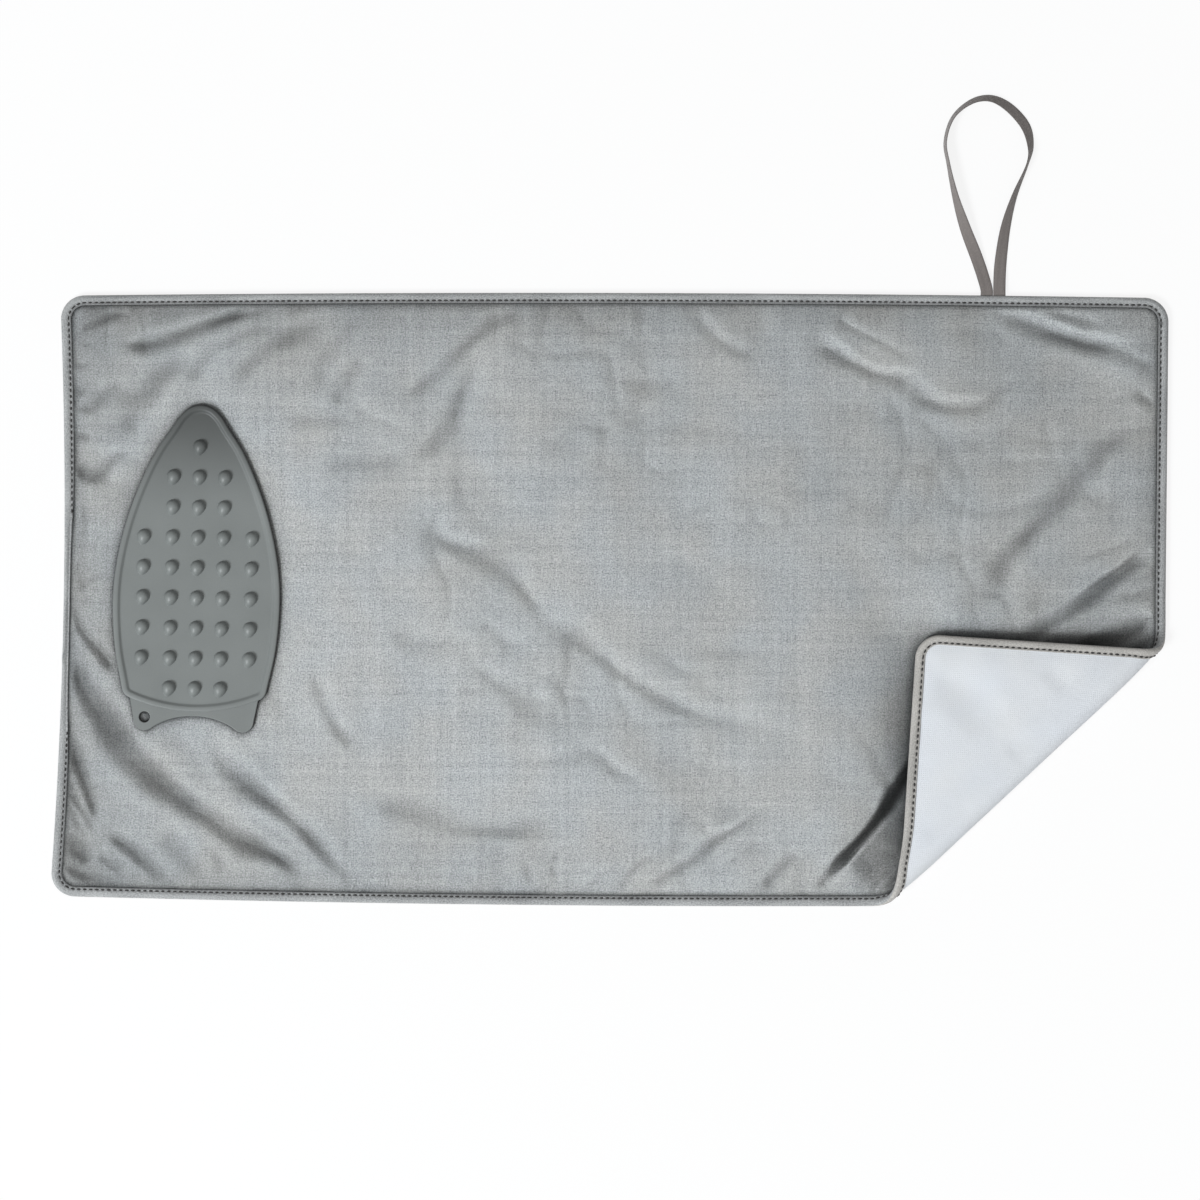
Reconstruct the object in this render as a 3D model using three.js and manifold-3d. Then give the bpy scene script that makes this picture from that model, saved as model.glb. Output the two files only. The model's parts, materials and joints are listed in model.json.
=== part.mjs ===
// Ironing pad: a wadded mat of silver cloth with a bound edge, one corner turned over to show the white
// backing, a ribbon loop sewn into the binding, and a loose silicone iron rest lying on top.
// Millimetres, +X along the mat, +Z up, origin in the middle of the underside.
import * as THREE from "three";
import { mergeVertices } from "three/addons/utils/BufferGeometryUtils.js";
import Module from "manifold-3d";

const wasm = await Module();
wasm.setup();

// The mat, lying flat
const MAT_LENGTH = 900;
const MAT_WIDTH = 500;
const CORNER_RADIUS = 20;
const COVER_THICKNESS = 0.5;
const WADDING_LOFT = 4.4;
const WADDING_PRESSED = 1.4;
const BACKING_THICKNESS = 0.5;
const CROWN_WIDTH = 28;
const CLEARANCE = 0.3;

// The binding tape and its seam
const TAPE_THICKNESS = 0.8;
const BINDING_WIDTH = 9.2;
const SEAM_INSET = 6.3;
const THREAD_DIAMETER = 0.5;
const THREAD_SEAT = 0.1;

// How the soft mat lies: how far each corner has drifted and how far two edges bow
const DRIFT_BACK_LEFT = new THREE.Vector2(-2.5, -1.5);
const DRIFT_BACK_RIGHT = new THREE.Vector2(2.5, -3.5);
const DRIFT_FRONT_LEFT = new THREE.Vector2(-11, 8.5);
const BOW_LEFT = 7.2;
const BOW_BACK = 3.2;
const DRIFT_SHORT_OF_FOLD = 68;

// The turned-over corner: where the fold starts on the two edges, and the roll's middle radius
const FOLD_REACH_SIDE = 230.5;
const FOLD_REACH_FRONT = 247;
const FOLD_RADIUS = 10;

// The turned corner's front edge lies short of the cut: by how much, and how far past the roll's top that builds up
const FLAP_SHORT = 4.5;
const FLAP_SHORT_REACH = 44;

// The ribbon loop: its distance from the right corner, its section and how deep its ends are sewn in
const LOOP_FROM_RIGHT = 143;
const RIBBON_WIDTH = 10;
const RIBBON_THICKNESS = 0.8;
const RIBBON_TAIL_DEPTH = 8;
const RIBBON_STRAIGHT_LENGTH = 4;
const RIBBON_DROP_LENGTH = 36;
const RIBBON_FLOOR_GAP = 0.2;

// The iron rest: where the middle of its tail lies on the mat, its turn in degrees and its moulding
const REST_FROM_LEFT = 106.5;
const REST_FROM_FRONT = 142.8;
const REST_TURN = -1.4;
const REST_LENGTH = 266;
const REST_WIDTH = 135.8;
const REST_FLOOR = 1.8;
const REST_RIM_HEIGHT = 3.6;
const REST_RIM_WIDTH = 6.4;
const REST_RIM_EDGE = 1.2;
const REST_HEEL_HEIGHT = 29;
const REST_HEEL_LOW = 16;
const REST_HEEL_WIDTH = 116;
const REST_HEEL_FILLET = 5;
const TAB_THICKNESS = 2.6;
const TAB_LOBE_RADIUS = 9;
const TAB_LOBE_SPACING = 80;
const TAB_LOBE_TURN = -50;
const TAB_ARCH_HEIGHT = 12.5;
const HANG_HOLE_DIAMETER = 8;
const HANG_HOLE_HEIGHT = 11;
const NUB_DIAMETER = 10.4;
const NUB_HEIGHT = 5.2;
const NUB_POINT = 0.35;
const NUB_NARROWING = 0.3;
const NUB_TURN = -15;
const NUB_FIRST_ROW = 35.2;
const NUB_ROW_PITCH = 24.64;
const NUB_INNER_COLUMN = 20.9;
const NUB_OUTER_COLUMN = 44;

// Nubs in each row from tail to tip
const NUB_COUNTS = [3, 5, 5, 5, 5, 5, 3, 3, 1];

// Fineness of the facets
const ARC_STEPS = 4;
const STRAIGHT_STEPS = 6;
const ROLL_STEPS = 12;
const TAPE_EDGE_STEPS = 6;
const THREAD_SIDES = 5;
const RIBBON_STEPS = 96;
const OUTLINE_STEPS = 3;
const NUB_SIDES = 8;
const HOLE_SIDES = 20;
const TAB_CURVE_STEPS = 8;
const INNER_RADIUS_LEAST = 2;
const MERGE_DISTANCE = 1e-4;

const DEGREE = Math.PI / 180;
const HALF_LENGTH = MAT_LENGTH / 2;
const HALF_WIDTH = MAT_WIDTH / 2;
const DRIFT_REACH = MAT_LENGTH - FOLD_REACH_FRONT - DRIFT_SHORT_OF_FOLD;
const lerp = THREE.MathUtils.lerp;

// Heights of the layers: pressed thin inside the binding, full in the middle
const PAD_THICKNESS = BACKING_THICKNESS + WADDING_LOFT + COVER_THICKNESS + 2 * CLEARANCE;
const TAPE_LOW = THREAD_DIAMETER + CLEARANCE;
const PRESSED_LOW = TAPE_LOW + TAPE_THICKNESS + CLEARANCE;
const PRESSED_STACK = BACKING_THICKNESS + WADDING_PRESSED + COVER_THICKNESS + 2 * CLEARANCE;
const TAPE_HIGH = PRESSED_LOW + PRESSED_STACK + CLEARANCE + TAPE_THICKNESS;
const TAPE_MIDDLE = (TAPE_LOW + TAPE_HIGH) / 2;
const TAPE_TURN = (TAPE_HIGH - TAPE_LOW) / 2;
const CROWN_START = BINDING_WIDTH + CLEARANCE;
const CROWN_END = CROWN_START + CROWN_WIDTH;
const CROWN_SHOULDER = lerp(CROWN_START, CROWN_END, 0.35);
const LAYER_INSETS = [TAPE_TURN, CROWN_START, CROWN_SHOULDER, CROWN_END];

function loft(inset) {
  const share = THREE.MathUtils.clamp((inset - CROWN_START) / CROWN_WIDTH, 0, 1);
  return Math.sin((share * Math.PI) / 2);
}
const backingLow = (inset) => lerp(PRESSED_LOW, 0, loft(inset));
const backingHigh = (inset) => backingLow(inset) + BACKING_THICKNESS;
const waddingLow = (inset) => backingHigh(inset) + CLEARANCE;
const waddingHigh = (inset) => waddingLow(inset) + lerp(WADDING_PRESSED, WADDING_LOFT, loft(inset));
const coverLow = (inset) => waddingHigh(inset) + CLEARANCE;
const coverHigh = (inset) => coverLow(inset) + COVER_THICKNESS;

// The fold line on the flat mat, from its front end to its side end, and the way out to the corner
const foldFrontEnd = new THREE.Vector2(HALF_LENGTH - FOLD_REACH_FRONT, -HALF_WIDTH);
const foldSideEnd = new THREE.Vector2(HALF_LENGTH, -HALF_WIDTH + FOLD_REACH_SIDE);
const foldAlong = foldSideEnd.clone().sub(foldFrontEnd).normalize();
const foldOut = new THREE.Vector2(foldAlong.y, -foldAlong.x);
const foldLevel = foldFrontEnd.dot(foldOut);

// The flap comes down past level, so that its tip rests on the mat
const CORNER_ROUNDING = CORNER_RADIUS * (Math.abs(foldOut.x) + Math.abs(foldOut.y) - 1);
const CORNER_DISTANCE = new THREE.Vector2(HALF_LENGTH, -HALF_WIDTH).dot(foldOut) - foldLevel;
const FLAP_REACH = CORNER_DISTANCE - CORNER_ROUNDING - FOLD_RADIUS * Math.PI;
const ROLL_CENTRE = PAD_THICKNESS / 2 + FOLD_RADIUS;
const FLAP_FACE = TAPE_HIGH + THREAD_SEAT + THREAD_DIAMETER;
const FLAP_FACE_RADIUS = ROLL_CENTRE - FLAP_FACE;
const FLAP_DROP = FOLD_RADIUS - PAD_THICKNESS / 2 - CLEARANCE;
const FLAP_SLOPE =
  Math.asin(FLAP_DROP / Math.hypot(FLAP_REACH, FLAP_FACE_RADIUS)) + Math.atan2(FLAP_FACE_RADIUS, FLAP_REACH);
const ROLL_ANGLE = Math.PI + FLAP_SLOPE;
const ROLL_LENGTH = FOLD_RADIUS * ROLL_ANGLE;

// Where a point of the cut-out mat goes when the mat is laid down by hand
function drifted(point) {
  const along = point.x / MAT_LENGTH + 0.5;
  const across = point.y / MAT_WIDTH + 0.5;
  const leftShare = Math.max(0, 1 - (point.x + HALF_LENGTH) / DRIFT_REACH) ** 2;
  const backShare = Math.max(0, 2 * across - 1);
  const leftBow = BOW_LEFT * 4 * across * (1 - across);
  const backBow = BOW_BACK * 4 * along * (1 - along);
  const leftShift = lerp(DRIFT_FRONT_LEFT.x, DRIFT_BACK_LEFT.x, across) + leftBow;
  const frontShift = DRIFT_FRONT_LEFT.y * (1 - across);
  const backShift = lerp(DRIFT_BACK_LEFT.y, DRIFT_BACK_RIGHT.y, along) + backBow;
  const pastTop = point.dot(foldOut) - foldLevel - ROLL_LENGTH / 2;
  const flapShare = THREE.MathUtils.smoothstep(pastTop, 0, FLAP_SHORT_REACH);
  return new THREE.Vector2(
    point.x + leftShare * leftShift + backShare * along * DRIFT_BACK_RIGHT.x,
    point.y + leftShare * frontShift + backShare * backShift + flapShare * FLAP_SHORT,
  );
}

// A point of the cut-out mat at a height in its thickness, laid down and carried round the fold
function laid(point, height) {
  const flat = drifted(point);
  const along = flat.dot(foldAlong);
  const past = flat.dot(foldOut) - foldLevel;
  if (past <= 0) {
    return new THREE.Vector3(flat.x, flat.y, height);
  }
  const angle = Math.min(past / FOLD_RADIUS, ROLL_ANGLE);
  const beyond = Math.max(0, past - ROLL_LENGTH);
  const radius = ROLL_CENTRE - height;
  const out = foldLevel + radius * Math.sin(angle) + beyond * Math.cos(angle);
  const rise = ROLL_CENTRE - radius * Math.cos(angle) + beyond * Math.sin(angle);
  return new THREE.Vector3(
    foldAlong.x * along + foldOut.x * out,
    foldAlong.y * along + foldOut.y * out,
    rise,
  );
}

// Points where a line parallel to the fold crosses the side edge and the front edge, set in by an inset
function sideCrossing(inset, past) {
  const x = HALF_LENGTH - inset;
  return new THREE.Vector2(x, (foldLevel + past - foldOut.x * x) / foldOut.y);
}
function frontCrossing(inset, past) {
  const y = -HALF_WIDTH + inset;
  return new THREE.Vector2((foldLevel + past - foldOut.y * y) / foldOut.x, y);
}

// The rounded corner whose arc starts at a quarter turn, counted from the right edge
function cornerArc(inset, quarter) {
  const radius = Math.max(CORNER_RADIUS - inset, INNER_RADIUS_LEAST);
  const start = (quarter * Math.PI) / 2;
  const middle = start + Math.PI / 4;
  const centre = new THREE.Vector2(
    Math.sign(Math.cos(middle)) * (HALF_LENGTH - inset - radius),
    Math.sign(Math.sin(middle)) * (HALF_WIDTH - inset - radius),
  );
  const arc = new THREE.ArcCurve(centre.x, centre.y, radius, start, start + Math.PI / 2);
  return arc.getPoints(ARC_STEPS);
}

// One run of edge points, anticlockwise, with each straight stretch cut into equal steps
function edgeRun(start, arcs, end) {
  const run = [start];
  for (const stretch of [...arcs, [end]]) {
    const from = run[run.length - 1];
    for (let i = 1; i < STRAIGHT_STEPS; i++) {
      run.push(from.clone().lerp(stretch[0], i / STRAIGHT_STEPS));
    }
    run.push(...stretch);
  }
  return run;
}
const FOLD_GAP = CLEARANCE / 2;
const matRun = (inset) =>
  edgeRun(
    sideCrossing(inset, -FOLD_GAP),
    [0, 1, 2].map((quarter) => cornerArc(inset, quarter)),
    frontCrossing(inset, -FOLD_GAP),
  );
const flapRun = (inset) =>
  edgeRun(
    frontCrossing(inset, ROLL_LENGTH + FOLD_GAP),
    [cornerArc(inset, 3)],
    sideCrossing(inset, ROLL_LENGTH + FOLD_GAP),
  );
function rollRun(crossing) {
  return (inset) =>
    Array.from({ length: ROLL_STEPS + 1 }, (_, i) =>
      crossing(inset, lerp(FOLD_GAP, ROLL_LENGTH - FOLD_GAP, i / ROLL_STEPS)),
    );
}

// Closed solids from points
function closedGeometry(points, triangles) {
  const geometry = new THREE.BufferGeometry().setFromPoints(points);
  geometry.setIndex(triangles.flat());
  geometry.computeVertexNormals();
  return geometry;
}

function outwardTriangles(points, triangles) {
  const normal = new THREE.Vector3();
  let volume = 0;
  for (const [a, b, c] of triangles) {
    volume += normal.crossVectors(points[b], points[c]).dot(points[a]);
  }
  return volume < 0 ? triangles.map(([a, b, c]) => [a, c, b]) : triangles;
}

// Triangles that fill an outline, turning the same way as the outline does
function filled(outline) {
  const triangles = THREE.ShapeUtils.triangulateShape(outline, []);
  const [a, b, c] = triangles[0].map((i) => outline[i]);
  const sameWay = THREE.ShapeUtils.area([a, b, c]) * THREE.ShapeUtils.area(outline) > 0;
  return sameWay ? triangles : triangles.map(([i, j, k]) => [i, k, j]);
}

// A section carried along a row of rings, closed at both ends
function swept(rings, section) {
  const count = section.length;
  const last = (rings.length - 1) * count;
  const triangles = [];
  for (let i = 0; i + 1 < rings.length; i++) {
    for (let k = 0; k < count; k++) {
      const a = i * count + k;
      const b = i * count + ((k + 1) % count);
      triangles.push([a, b, b + count], [a, b + count, a + count]);
    }
  }
  for (const [a, b, c] of filled(section)) {
    triangles.push([a, c, b], [last + a, last + b, last + c]);
  }
  const points = rings.flat();
  return closedGeometry(points, outwardTriangles(points, triangles));
}

// A layer of the mat between two heights, inside a run of edge and the fold line that closes it
function panel(run, lowAt, highAt) {
  const runs = LAYER_INSETS.map(run);
  const rows = runs.length;
  const count = runs[0].length;
  const points = [];
  for (const heightAt of [lowAt, highAt]) {
    runs.forEach((row, j) => row.forEach((point) => points.push(laid(point, heightAt(LAYER_INSETS[j])))));
  }
  const low = (j, i) => j * count + i;
  const high = (j, i) => (rows + j) * count + i;
  const triangles = [];
  const quad = (a, b, c, d) => triangles.push([a, b, c], [a, c, d]);
  const end = count - 1;
  for (let i = 0; i < end; i++) {
    quad(low(0, i), low(0, i + 1), high(0, i + 1), high(0, i));
    for (let j = 0; j + 1 < rows; j++) {
      quad(high(j, i), high(j, i + 1), high(j + 1, i + 1), high(j + 1, i));
      quad(low(j, i), low(j + 1, i), low(j + 1, i + 1), low(j, i + 1));
    }
  }
  for (let j = 0; j + 1 < rows; j++) {
    quad(high(j, 0), high(j + 1, 0), low(j + 1, 0), low(j, 0));
    quad(high(j + 1, end), high(j, end), low(j, end), low(j + 1, end));
  }
  const inner = rows - 1;
  quad(high(inner, 0), high(inner, end), low(inner, end), low(inner, 0));
  for (const [a, b, c] of filled(runs[inner])) {
    triangles.push([high(inner, a), high(inner, b), high(inner, c)]);
    triangles.push([low(inner, a), low(inner, c), low(inner, b)]);
  }
  return closedGeometry(points, triangles);
}

// The same layer where it goes round the fold, from the side edge across to the front edge
function rollPanel(lowAt, highAt) {
  const across = [
    ...LAYER_INSETS.map((inset) => [rollRun(sideCrossing)(inset), inset]),
    ...LAYER_INSETS.toReversed().map((inset) => [rollRun(frontCrossing)(inset), inset]),
  ];
  const section = [
    ...across.map(([, inset], k) => new THREE.Vector2(k, lowAt(inset))),
    ...across.map(([, inset], k) => new THREE.Vector2(k, highAt(inset))).toReversed(),
  ];
  const rings = Array.from({ length: ROLL_STEPS + 1 }, (_, i) => [
    ...across.map(([run, inset]) => laid(run[i], lowAt(inset))),
    ...across.map(([run, inset]) => laid(run[i], highAt(inset))).toReversed(),
  ]);
  return swept(rings, section);
}

// A section of inset and height carried along a run of the mat's edge
function edgeSweep(run, section) {
  const runs = section.map((corner) => run(corner.x));
  const rings = runs[0].map((_, i) => section.map((corner, k) => laid(runs[k][i], corner.y)));
  return swept(rings, section);
}

// The binding's section: a tape folded over the raw edges, round at the outside
function bindingSection() {
  const turn = (wall) => {
    const reach = TAPE_TURN - wall;
    return Array.from({ length: TAPE_EDGE_STEPS + 1 }, (_, i) => {
      const angle = lerp(-Math.PI / 2, -1.5 * Math.PI, i / TAPE_EDGE_STEPS);
      return new THREE.Vector2(TAPE_TURN + reach * Math.cos(angle), TAPE_MIDDLE + reach * Math.sin(angle));
    });
  };
  return [
    new THREE.Vector2(BINDING_WIDTH, TAPE_LOW),
    ...turn(0),
    new THREE.Vector2(BINDING_WIDTH, TAPE_HIGH),
    new THREE.Vector2(BINDING_WIDTH, TAPE_HIGH - TAPE_THICKNESS),
    ...turn(TAPE_THICKNESS).toReversed(),
    new THREE.Vector2(BINDING_WIDTH, TAPE_LOW + TAPE_THICKNESS),
  ];
}

function threadSection(height) {
  const radius = THREAD_DIAMETER / 2;
  return Array.from({ length: THREAD_SIDES }, (_, k) => {
    const angle = ((k + 0.25) / THREAD_SIDES) * 2 * Math.PI;
    return new THREE.Vector2(SEAM_INSET + radius * Math.cos(angle), height + radius * Math.sin(angle));
  });
}
const NEEDLE_HEIGHT = TAPE_HIGH + THREAD_SEAT + THREAD_DIAMETER / 2;
const BOBBIN_HEIGHT = TAPE_LOW - THREAD_SEAT - THREAD_DIAMETER / 2;

// Joining and cutting
function solid(geometry) {
  const bare = new THREE.BufferGeometry();
  bare.setAttribute("position", geometry.getAttribute("position"));
  bare.setIndex(geometry.getIndex());
  const merged = mergeVertices(bare, MERGE_DISTANCE);
  return new wasm.Manifold(
    new wasm.Mesh({
      numProp: 3,
      vertProperties: new Float32Array(merged.getAttribute("position").array),
      triVerts: new Uint32Array(merged.getIndex().array),
    }),
  );
}

function geometryOf(body) {
  const mesh = body.getMesh();
  const geometry = new THREE.BufferGeometry();
  geometry.setAttribute("position", new THREE.BufferAttribute(mesh.vertProperties, 3));
  geometry.setIndex(new THREE.BufferAttribute(mesh.triVerts, 1));
  geometry.computeVertexNormals();
  return geometry;
}

// A box from its two corners
function boxBetween(low, high) {
  const size = high.clone().sub(low);
  const box = new THREE.BoxGeometry(size.x, size.y, size.z);
  return box.translate(low.x + size.x / 2, low.y + size.y / 2, low.z + size.z / 2);
}

// The ribbon leaves the binding halfway up its outer edge
const loopRoot = laid(new THREE.Vector2(HALF_LENGTH - LOOP_FROM_RIGHT, HALF_WIDTH), TAPE_MIDDLE);
const RIBBON_SPREAD = (RIBBON_WIDTH + CLEARANCE) / 2;

function ribbonTail(side) {
  const low = new THREE.Vector3(-RIBBON_WIDTH / 2, -RIBBON_TAIL_DEPTH, -RIBBON_THICKNESS / 2);
  const high = new THREE.Vector3(RIBBON_WIDTH / 2, 0, RIBBON_THICKNESS / 2);
  return boxBetween(low, high).translate(loopRoot.x + side * RIBBON_SPREAD, loopRoot.y, loopRoot.z);
}

// Room for both tails, as a slot through the tape and a notch in the wadding
function tailRoom() {
  const half = RIBBON_SPREAD + RIBBON_WIDTH / 2 + CLEARANCE;
  const depth = RIBBON_TAIL_DEPTH + CLEARANCE;
  const rise = RIBBON_THICKNESS / 2 + CLEARANCE;
  const low = new THREE.Vector3(loopRoot.x - half, loopRoot.y - depth, loopRoot.z - rise);
  const high = new THREE.Vector3(loopRoot.x + half, loopRoot.y + TAPE_THICKNESS, loopRoot.z + rise);
  return solid(boxBetween(low, high));
}

// The loop's middle line from one end to the other: [across, out from the edge, twist in degrees]
const LOOP_POINTS = [
  [-8.2, 16, 0],
  [-12.6, 29.4, 8],
  [-22.8, 55.5, 35],
  [-31, 81.6, 65],
  [-36.7, 107.7, 80],
  [-39.2, 125, 80],
  [-33, 145, 75],
  [-18, 158, 64],
  [-3, 161, 52],
  [12.5, 154, 36],
  [25.3, 140.3, 32],
  [30.4, 123, 54],
  [28.1, 107.7, 77],
  [17.5, 81.6, 62],
  [10.2, 55.5, 35],
  [6.5, 29.4, 12],
  [5.5, 16, 0],
];

function ribbonLoop() {
  const square = [CLEARANCE, CLEARANCE + RIBBON_STRAIGHT_LENGTH];
  const start = square.map((out) => [-RIBBON_SPREAD, out, 0]);
  const finish = square.toReversed().map((out) => [RIBBON_SPREAD, out, 0]);
  const stops = [...start, ...LOOP_POINTS, ...finish];
  const line = new THREE.CatmullRomCurve3(stops.map((stop) => new THREE.Vector3(...stop)));
  const up = new THREE.Vector3(0, 0, 1);
  const section = [
    new THREE.Vector2(-RIBBON_WIDTH / 2, -RIBBON_THICKNESS / 2),
    new THREE.Vector2(RIBBON_WIDTH / 2, -RIBBON_THICKNESS / 2),
    new THREE.Vector2(RIBBON_WIDTH / 2, RIBBON_THICKNESS / 2),
    new THREE.Vector2(-RIBBON_WIDTH / 2, RIBBON_THICKNESS / 2),
  ];
  const rings = Array.from({ length: RIBBON_STEPS + 1 }, (_, i) => {
    const share = i / RIBBON_STEPS;
    const at = line.getPoint(share);
    const twist = at.z * DEGREE;
    const ahead = line.getTangent(share).setZ(0).normalize();
    const inward = new THREE.Vector3(ahead.y, -ahead.x, 0);
    const width = inward.clone().multiplyScalar(Math.cos(twist)).addScaledVector(up, Math.sin(twist));
    const face = up.clone().multiplyScalar(Math.cos(twist)).addScaledVector(inward, -Math.sin(twist));
    const halfRise = (RIBBON_WIDTH * Math.sin(twist) + RIBBON_THICKNESS * Math.cos(twist)) / 2;
    const settled = THREE.MathUtils.smoothstep(at.y, CLEARANCE, RIBBON_DROP_LENGTH);
    const height = lerp(loopRoot.z, halfRise + RIBBON_FLOOR_GAP, settled);
    const middle = new THREE.Vector3(loopRoot.x + at.x, loopRoot.y + at.y, height);
    return section.map(({ x, y }) => middle.clone().addScaledVector(width, x).addScaledVector(face, y));
  });
  return swept(rings, section);
}

// The iron rest's outline, anticlockwise from the left heel: a shallow arc, two heels and a pointed sole
function restOutline() {
  const half = REST_WIDTH / 2;
  const heelX = REST_HEEL_WIDTH / 2;
  const sag = REST_HEEL_HEIGHT - REST_HEEL_LOW;
  const heelRadius = (heelX ** 2 + sag ** 2) / (2 * sag);
  const arcEnd = heelX - REST_HEEL_FILLET;
  const arcY = REST_HEEL_LOW + heelRadius - Math.sqrt(heelRadius ** 2 - arcEnd ** 2);
  const side = [
    [0.868, 0.128],
    [0.968, 0.26],
    [1, 0.425],
    [0.936, 0.56],
    [0.78, 0.706],
    [0.53, 0.855],
    [0.35, 0.926],
    [0.235, 0.97],
    [0.125, 0.993],
  ].map(([across, along]) => new THREE.Vector2(across * half, along * REST_LENGTH));
  const mirrored = side.toReversed().map((point) => new THREE.Vector2(-point.x, point.y));
  const heelPoint = new THREE.Vector2(heelX, REST_HEEL_HEIGHT);
  const bow = Math.asin(arcEnd / heelRadius);
  const outline = new THREE.Path();
  outline.moveTo(-arcEnd, arcY);
  outline.absarc(0, REST_HEEL_LOW + heelRadius, heelRadius, -Math.PI / 2 - bow, -Math.PI / 2 + bow);
  outline.quadraticCurveTo(heelPoint.x, heelPoint.y, side[0].x, side[0].y);
  outline.splineThru([...side.slice(1), new THREE.Vector2(0, REST_LENGTH), ...mirrored]);
  outline.quadraticCurveTo(-heelPoint.x, heelPoint.y, -arcEnd, arcY);
  return outline.getPoints(OUTLINE_STEPS).slice(0, -1);
}

// The outline set in along its own normals
function insetOutline(outline, inset) {
  const count = outline.length;
  return outline.map((point, i) => {
    const ahead = outline[(i + 1) % count].clone().sub(outline[(i + count - 1) % count]).normalize();
    return new THREE.Vector2(point.x - ahead.y * inset, point.y + ahead.x * inset);
  });
}

// The tray of the rest: a floor inside a rounded rim
function restTray() {
  const outline = restOutline();
  const profile = [
    [0, 0],
    [0, REST_RIM_HEIGHT - REST_RIM_EDGE],
    [REST_RIM_EDGE, REST_RIM_HEIGHT],
    [REST_RIM_WIDTH - 2 * REST_RIM_EDGE, REST_RIM_HEIGHT],
    [REST_RIM_WIDTH, REST_FLOOR],
  ];
  const rings = profile.map(([inset, height]) =>
    insetOutline(outline, inset).map((point) => new THREE.Vector3(point.x, point.y, height)),
  );
  return swept(rings, outline);
}

// The tail tab: two round lobes with a shallow arch between them
function restTab() {
  const lobeX = TAB_LOBE_SPACING / 2;
  const lobeTurn = TAB_LOBE_TURN * DEGREE;
  const inside = REST_HEEL_HEIGHT + REST_RIM_EDGE;
  const root = REST_HEEL_WIDTH / 2 - REST_RIM_EDGE;
  const valley = lobeX / 2;
  const lobeEnd = new THREE.Vector2(
    lobeX - TAB_LOBE_RADIUS * Math.cos(lobeTurn),
    TAB_LOBE_RADIUS + TAB_LOBE_RADIUS * Math.sin(lobeTurn),
  );
  const tab = new THREE.Shape();
  tab.moveTo(-root, inside);
  tab.lineTo(-lobeX - TAB_LOBE_RADIUS, TAB_LOBE_RADIUS);
  tab.absarc(-lobeX, TAB_LOBE_RADIUS, TAB_LOBE_RADIUS, Math.PI, 2 * Math.PI + lobeTurn);
  tab.quadraticCurveTo(-valley, TAB_ARCH_HEIGHT, 0, TAB_ARCH_HEIGHT);
  tab.quadraticCurveTo(valley, TAB_ARCH_HEIGHT, lobeEnd.x, lobeEnd.y);
  tab.absarc(lobeX, TAB_LOBE_RADIUS, TAB_LOBE_RADIUS, Math.PI - lobeTurn, 2 * Math.PI);
  tab.lineTo(root, inside);
  const extrusion = { depth: TAB_THICKNESS, bevelEnabled: false, curveSegments: TAB_CURVE_STEPS };
  return new THREE.ExtrudeGeometry(tab, extrusion);
}

// One nub: a dome that grows out of the floor, drawn out to a blunt point towards the tail
function nub(x, y) {
  const radius = NUB_DIAMETER / 2;
  const rooted = REST_FLOOR / 2;
  const profile = [
    [0, -rooted],
    [radius, -rooted],
    [0.93 * radius, 0.25 * NUB_HEIGHT],
    [0.62 * radius, 0.74 * NUB_HEIGHT],
    [0, NUB_HEIGHT],
  ].map(([out, rise]) => new THREE.Vector2(out, rise));
  const dome = new THREE.LatheGeometry(profile, NUB_SIDES).rotateX(Math.PI / 2);
  const corners = dome.attributes.position;
  for (let k = 0; k < corners.count; k += 1) {
    const ahead = Math.max(0, -corners.getY(k) / radius);
    corners.setXY(k, corners.getX(k) * (1 - NUB_NARROWING * ahead), corners.getY(k) * (1 + NUB_POINT * ahead));
  }
  return dome.rotateZ(NUB_TURN * DEGREE).translate(x, y, REST_FLOOR);
}

function ironRest() {
  let body = solid(restTray()).add(solid(restTab()));
  const columns = [0, -NUB_INNER_COLUMN, NUB_INNER_COLUMN, -NUB_OUTER_COLUMN, NUB_OUTER_COLUMN];
  NUB_COUNTS.forEach((count, row) => {
    for (const x of columns.slice(0, count)) {
      body = body.add(solid(nub(x, NUB_FIRST_ROW + row * NUB_ROW_PITCH)));
    }
  });
  const holeRadius = HANG_HOLE_DIAMETER / 2;
  const hole = new THREE.CylinderGeometry(holeRadius, holeRadius, 4 * TAB_THICKNESS, HOLE_SIDES);
  hole.rotateX(Math.PI / 2).translate(-TAB_LOBE_SPACING / 2, HANG_HOLE_HEIGHT, 0);
  return geometryOf(body.subtract(solid(hole)));
}

// Materials
function cloth(colour, roughness, metalness = 0) {
  return new THREE.MeshStandardMaterial({ color: colour, roughness, metalness });
}
const silverCloth = () => cloth(0x9a9c9b, 0.45, 0.5);
const whiteCloth = () => cloth(0xdfe2e8, 0.85);
const felt = () => cloth(0xe9e7e1, 0.95);
const tape = () => cloth(0x7d7e7c, 0.85);
const thread = () => cloth(0x3c3c3d, 0.8);
const ribbon = () => cloth(0x646162, 0.8);
const silicone = () => cloth(0x5e6462, 0.6);

// The assembly
const pad = new THREE.Group();
function place(name, geometry, material, parent = pad) {
  const mesh = new THREE.Mesh(geometry, material);
  mesh.name = name;
  parent.add(mesh);
}

const room = tailRoom();
place("top_cover", panel(matRun, coverLow, coverHigh), silverCloth());
place("wadding", geometryOf(solid(panel(matRun, waddingLow, waddingHigh)).subtract(room)), felt());
place("backing", panel(matRun, backingLow, backingHigh), whiteCloth());
place("edge_binding", geometryOf(solid(edgeSweep(matRun, bindingSection())).subtract(room)), tape());
place("needle_thread", edgeSweep(matRun, threadSection(NEEDLE_HEIGHT)), thread());
place("bobbin_thread", edgeSweep(matRun, threadSection(BOBBIN_HEIGHT)), thread());
place("loop_tail_left", ribbonTail(-1), ribbon());
place("loop_tail_right", ribbonTail(1), ribbon());

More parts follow.
